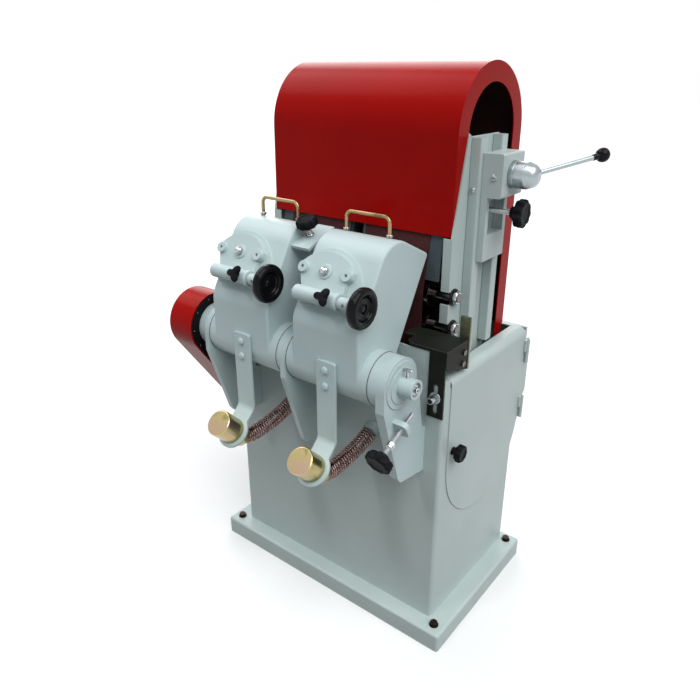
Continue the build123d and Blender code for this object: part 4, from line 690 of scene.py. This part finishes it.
# Tension lever: a hub turned as a barrel, a cone and a round nose, a bar from its nose and a ball on a
# short neck. The bar's and the neck's heights are from the ball's middle.
lever = {"at": (372.7, 38.0, 1250.0), "root": np.array((416.6, 38.0, 1252.0)),
         "ball": np.array((516.0, 221.0, 1287.5)), "ballRadius": 17.9,
         "hub": [(0.4, 0, 0), (31.8, 0, 0.4), (32.4, 0.8, 0.4), (32.4, 10.6, 0.2), (31.6, 11.2, 0.3),
                 (32.4, 11.8, 0.2), (32.4, 38, 1.2), (25, 58, 9), (13, 65.6, 9), (0.4, 65.6, 0)],
         "rootRadius": 6.2, "barEnd": [(6.9, -30, 1), (6.9, -20, 1), (0.4, -20, 0)],
         "neck": [(8.6, -16.5, 0), (8.2, -20, 2), (7.6, -32, 1.2), (0.4, -32, 0)]}
run = lever["ball"] - lever["root"]
length = np.linalg.norm(run)
bar = [(0.4, -length, 0), (lever["rootRadius"], -length, 0.5)] + lever["barEnd"]
a = np.linspace(0.03, np.pi - 0.5, 32)
ball = np.vstack([lever["ballRadius"] * np.stack([np.sin(a), np.cos(a)], 1), softProfile(lever["neck"])])
leverPieces = {  # profile, origin, axis, finish, points around, slot
    "tension_hub": (lever["hub"], lever["at"], sideways, "brushedSteel", 96, "polished_steel"),
    "tension_bar": (bar, lever["ball"], run, "brushedSteel", 40, "polished_steel"),
    "tension_ball": (ball, lever["ball"], run, "phenolic", 56, "black_plastic"),
}
for name, (*shape, slot) in leverPieces.items():
    settle(turned(name, *shape), "tension_lever", slot, "tension_lever")
print("lever done")

# Axle ends: a dark washer, a bright nut and a bit of thread at both ends of the two contact roller axles.
axle = {"y": -70.0, "heights": {"upper": 955.0, "lower": 872.0}, "face": 293.5,
        "washer": [(0.4, 0.05, 0), (21.9, 0.05, 0.6), (21.9, 3.9, 0.8), (0.4, 3.9, 0)],
        "nut": (31.8, 3.8, 15.9),  # flats, low, high
        "thread": (10.4, 10, 17.9, 1.75)}  # radius, low, high, pitch
brightFastener = ("frame", "bright_steel", "frame_fasteners")
darkFastener = ("frame", "dark_steel", "frame_fasteners")
for level, z in axle["heights"].items():
    for side, sign in (("right", 1), ("left", -1)):
        origin, outwards, name = (sign * axle["face"], axle["y"], z), (sign, 0, 0), level + "_" + side
        washer = turned("axle_washer_" + name, axle["washer"], origin, outwards, "blackSteel")
        settle(washer, *darkFastener)
        nut = hexNut("axle_nut_" + name, *axle["nut"], origin, outwards, "polishedSteel")
        settle(nut, *brightFastener)
        thread = threadedStud("axle_thread_" + name, *axle["thread"], origin, outwards, "brightSteel")
        settle(thread, *brightFastener)

# Slotted screws: one at the top of each guide bar, and one in the tension box.
slotted = {  # radius, place, body, CAD nodes that it stands for
    "bar_screw_right": (6.9, (305.5, -31.0, 1215.0), "frame", ["frame_fasteners"]),
    "bar_screw_left": (6.9, (-305.5, -31.0, 1215.0), "frame", ["frame_fasteners"]),
    "box_screw": (3.9, (351.2, -21.9, 1250.5), "tension_slide_right", []),
}
for name, (radius, at, body, replaced) in slotted.items():
    settle(slottedHead(name, radius, at, "polishedSteel"), body, "bright_steel", *replaced)

# Boss screw: a threaded stem down into the right bracket's boss, with a loose cross bar through its top.
boss = {"at": np.array((331.0, -324.0, 833.0)), "rise": 26.8, "stem": 3.9, "proud": 2.0, "pitch": 1.5,
        "bar": [(0.4, -11, 0), (3.9, -11, 1.6), (3.9, 11, 1.6), (0.4, 11, 0)]}
stem = threadedStud("boss_screw_stem", boss["stem"], 0, boss["rise"] + boss["proud"], boss["pitch"],
                    boss["at"], (0, 0, 1), "brightSteel")
settle(stem, *brightFastener)
through = boss["at"] + (0, 0, boss["rise"])
crossBar = turned("boss_screw_bar", boss["bar"], through, sideways, "polishedSteel", 32)
settle(crossBar, *brightFastener)

# Rest clamp: a stud, a washer and a long cap with a socket, through the slot in the work rest's leg.
clamp = {"at": np.array((340.0, -212.6, 747.0)), "axis": np.array((0, -1.0, 0)),
         "washer": [(0.4, 0.1, 0), (15.4, 0.1, 0.4), (15.4, 2.9, 1.2), (0.4, 2.9, 0)],
         "stud": [(0.4, -4.4, 0), (4.9, -4.4, 0.3), (4.9, 3, 0.2), (0.4, 3, 0)],
         "plug": [(0.4, 24.4, 0), (6.4, 24.4, 0.5), (6.4, 25.4, 0.5), (0.4, 25.4, 0)],
         "capRadius": 9.6, "capHigh": 22.0, "capSeat": 3.0}
washer = turned("clamp_washer", clamp["washer"], clamp["at"], clamp["axis"], "polishedSteel", 56)
settle(washer, *brightFastener)
stud = turned("clamp_stud", clamp["stud"], clamp["at"], clamp["axis"], "brightSteel", 32)
settle(stud, *brightFastener)
cap = socketScrew("clamp_cap", clamp["capRadius"], clamp["capHigh"],
                  clamp["at"] + clamp["capSeat"] * clamp["axis"], clamp["axis"], "brushedSteel")
settle(cap, *brightFastener)
plug = turned("clamp_cap_plug", clamp["plug"], clamp["at"], clamp["axis"], "blackSteel", 40)
settle(plug, *darkFastener)

# Rest screws: two socket heads that hold the guide on the work rest.
restScrews = {  # radius, height, place
    "rest_screw_high": (7.4, 4.6, (366.0, -130.0, 845.0)),
    "rest_screw_low": (7.4, 4.6, (366.0, -134.0, 817.0)),
}
for name, restScrew in restScrews.items():
    settle(socketScrew(name, *restScrew, sideways, "darkRoller"), "work_rest", "bright_steel")

# Shaft end: a washer and a screw in the boss's recess, turning with the feed shaft.
shaftEnd = {"at": np.array((350.0, *pivot)), "thick": 2.2, "screwRadius": 6.8, "screwHigh": 7.0,
            "washer": [(0.4, 0.1, 0), (13.5, 0.1, 0.4), (13.5, 2.2, 1), (0.4, 2.2, 0)]}
washer = turned("shaft_end_washer", shaftEnd["washer"], shaftEnd["at"], sideways, "brightSteel", 56)
settle(washer, "feed_shaft", "bright_steel")
endScrew = socketScrew("shaft_end_screw", shaftEnd["screwRadius"], shaftEnd["screwHigh"],
                       shaftEnd["at"] + shaftEnd["thick"] * sideways, sideways, "polishedSteel")
settle(endScrew, "feed_shaft", "bright_steel")

# Guard screws: small domed heads round the black plate behind the belt guard.
guard = {"at": np.array((-314.0, *pivot)), "radius": 78.0, "angles": (15, 52, 90, 128),
         "head": [(0.3, 1.8, 0), (1.6, 1.6, 0.8), (2.7, 0.2, 0.8), (0.3, 0, 0)]}
for i, degrees in enumerate(guard["angles"]):
    a = math.radians(degrees)
    origin = guard["at"] + guard["radius"] * np.array((0, -math.sin(a), math.cos(a)))
    head = turned("guard_screw_%d" % i, guard["head"], origin, sideways, "darkRoller", 24)
    settle(head, "frame", "bright_steel")
print("fasteners done")

# Seam discs: thin dark discs in the gaps between the heads' hubs and the brackets, painted shade that darkens
# the seams there.
seamShade = {"places": (-265.5, -16.5, 16.5, 265.5),
          "disc": [(0.4, -0.42, 0), (66.9, -0.42, 0.1), (66.9, 0.42, 0.1), (0.4, 0.42, 0)]}
for i, x in enumerate(seamShade["places"]):
    washer = turned("seam_shade_disc_%d" % i, seamShade["disc"], (x, *pivot), sideways, "blackSteel", 96)
    settle(washer, "frame", "dark_steel")


# Rounded plate: an outline of four quarter circles set apart, carried through the thin way with eased
# edges.
def roundedPlate(name, low, high, thin, corner, ease, finish):
    t = oneTurn(48, True)
    reach = corner - np.array([ease, 0, 0, ease])[:, None]
    points = np.empty((4, len(t), 3))
    points[:, :, thin] = np.array([low[thin], low[thin] + ease, high[thin] - ease, high[thin]])[:, None]
    for axis, swing in zip([k for k in range(3) if k != thin], (np.cos(t), np.sin(t))):
        middle, half = (low[axis] + high[axis]) / 2, (high[axis] - low[axis]) / 2
        points[:, :, axis] = middle + np.sign(swing) * (half - corner) + reach * swing
    return ringMesh(name, points * mm, finish)


# Sheets on the cabinet: an upstand on its front wall under the work rest, a bar along each side of its
# open top, and the hood's tabs, which carry the hood's end flanges down into the opening.
sheets = {  # low corner, high corner, thin way, corner radius, eased edge, finish, slot
    "front_upstand": ((205, -207.9, 788), (352, -204.9, 861), 1, 4, 0.5, "sheetEnamel", "pale_grey_paint"),
    "top_bar_right": ((318.5, -152, 787.2), (326.6, 240, 789.8), 2, 1, 0.5, "sheetEnamel",
                      "pale_grey_paint"),
    "top_bar_left": ((-328, -152, 787.2), (-318.5, 240, 789.8), 2, 1, 0.5, "sheetEnamel",
                     "pale_grey_paint"),
    "hood_tab_right": ((286.2, 198.4, 742), (288.8, 237.4, 797), 0, 6, 0.5, "redEnamel", "red_paint"),
    "hood_tab_left": ((-288.8, 198.4, 742), (-286.2, 237.4, 797), 0, 6, 0.5, "redEnamel", "red_paint"),
}
for name, (*shape, slot) in sheets.items():
    settle(roundedPlate(name, *shape), "frame", slot)
print("thrust washers and sheets done")

# Hood lining: a thin flat strip as wide as the hood, carried just inside its straight front, arch and
# straight back.
lining = {"half": 285.4, "inset": 3.6, "thick": 0.8, "frontLow": (-88.0, 1109.0),
          "centre": np.array((80.0, 1335.0)), "radius": 165.0, "backLow": 793.0}
archRadius = lining["radius"] - lining["inset"]
a = np.linspace(np.pi, 0, 72)[:, None]
line = np.vstack([[(lining["frontLow"][0] + lining["inset"], lining["frontLow"][1])],
                  lining["centre"] + archRadius * np.hstack([np.cos(a), np.sin(a)]),
                  [(lining["centre"][0] + archRadius, lining["backLow"])]])
inwards = np.vstack([[(1, 0)], -np.hstack([np.cos(a), np.sin(a)]), [(-1, 0)]])
under = line + lining["thick"] * inwards
half = np.full((len(line), 1), lining["half"])
points = np.stack([np.hstack([-half, line]), np.hstack([half, line]),
                   np.hstack([half, under]), np.hstack([-half, under])], 1)
settle(ringMesh("hood_lining", points * mm, "hoodInside", sharp=30), "frame", "black_paint")
print("hood lining done")


# Seen rays: 1 for rays that show a surface to the eye, straight or by reflection, and 0 for rays that
# carry light.
def seenRays(tree):
    ray = addNode(tree, "LightPath", {}).outputs
    mirror = addNode(tree, "Math", {0: ray["Is Glossy Ray"], 1: ray["Is Transmission Ray"]},
                     operation="MAXIMUM").outputs[0]
    return addNode(tree, "Math", {0: ray["Is Camera Ray"], 1: mirror}, operation="MAXIMUM").outputs[0]


# Studio: a floor that looks white but lends little light, an even white sky, a broad key sun, a narrow
# one from the front that draws the highlights, a broad one high on the left for the hood's sheen, and a
# broad one behind.
studio = {"floorHalf": 30, "floorLit": "#686868", "floorSeen": "#f7f7f7", "sky": "#eef4f7", "skyLight": 0.335}
floorFinish, tree, _ = startFinish("paleStudioFloor")
tone = addNode(tree, "ValToRGB", {"Fac": seenRays(tree)},
               ((0.0, studio["floorLit"]), (1.0, studio["floorSeen"])))
closeFinish(tree, {"Base Color": tone.outputs["Color"], "Roughness": 0.9, "Specular IOR Level": 0.0})
floorMesh = bpy.data.meshes.new("studio_floor")
far = studio["floorHalf"]
floorMesh.from_pydata([(-far, -far, 0), (far, -far, 0), (far, far, 0), (-far, far, 0)], [], [(0, 1, 2, 3)])
floorMesh.materials.append(floorFinish)
floor = bpy.data.objects.new("studio_floor", floorMesh)
bpy.context.scene.collection.objects.link(floor)

sky = bpy.data.worlds.new("studioSky")
sky.use_nodes = True
tree = sky.node_tree
tree.nodes.clear()
dim = addNode(tree, "Background", {"Color": toLinear(studio["sky"]), "Strength": studio["skyLight"]})
white = addNode(tree, "Background", {"Color": (1, 1, 1, 1), "Strength": 1.0})
mixed = addNode(tree, "MixShader", {0: seenRays(tree), 1: dim.outputs[0], 2: white.outputs[0]})
addNode(tree, "OutputWorld", {"Surface": mixed.outputs[0]})
bpy.context.scene.world = sky

suns = {  # where the light comes from, strength, spread in degrees
    "keySun": ((0.58, -0.19, 0.79), 2.42, 55.0),
    "frontSun": ((-0.20, -0.55, 0.81), 0.38, 7.0),
    "topSun": ((-0.64, -0.05, 0.77), 0.88, 40.0),
    "backSun": ((-0.55, 0.72, 0.42), 1.1, 42.0),
}
for name, (origin, strength, spread) in suns.items():
    light = bpy.data.lights.new(name, "SUN")
    light.energy = strength
    light.angle = math.radians(spread)
    lamp = bpy.data.objects.new(name, light)
    lamp.rotation_euler = Vector(origin).to_track_quat("Z", "Y").to_euler()
    bpy.context.scene.collection.objects.link(lamp)

shot = {"location": (1.0382, -1.4309, 1.4855), "yaw": 38.23, "pitch": 22.73, "lens": 33.36, "sensor": 36,
        "shiftY": -0.0171}
yaw, pitch = math.radians(shot["yaw"]), math.radians(shot["pitch"])
right = Vector((math.cos(yaw), math.sin(yaw), 0))
ahead = Vector((-math.sin(yaw) * math.cos(pitch), math.cos(yaw) * math.cos(pitch), -math.sin(pitch)))
upward = right.cross(ahead)
camera = bpy.data.cameras.new("photoCamera")
camera.lens = shot["lens"]
camera.sensor_width = shot["sensor"]
camera.shift_y = shot["shiftY"]
eye = bpy.data.objects.new("photoCamera", camera)
turnTo = Matrix((right, upward, -ahead)).transposed().to_4x4()
eye.matrix_world = Matrix.Translation(shot["location"]) @ turnTo
bpy.context.scene.collection.objects.link(eye)
bpy.context.scene.camera = eye
bpy.context.scene.view_settings.view_transform = "Standard"
print("studio done")
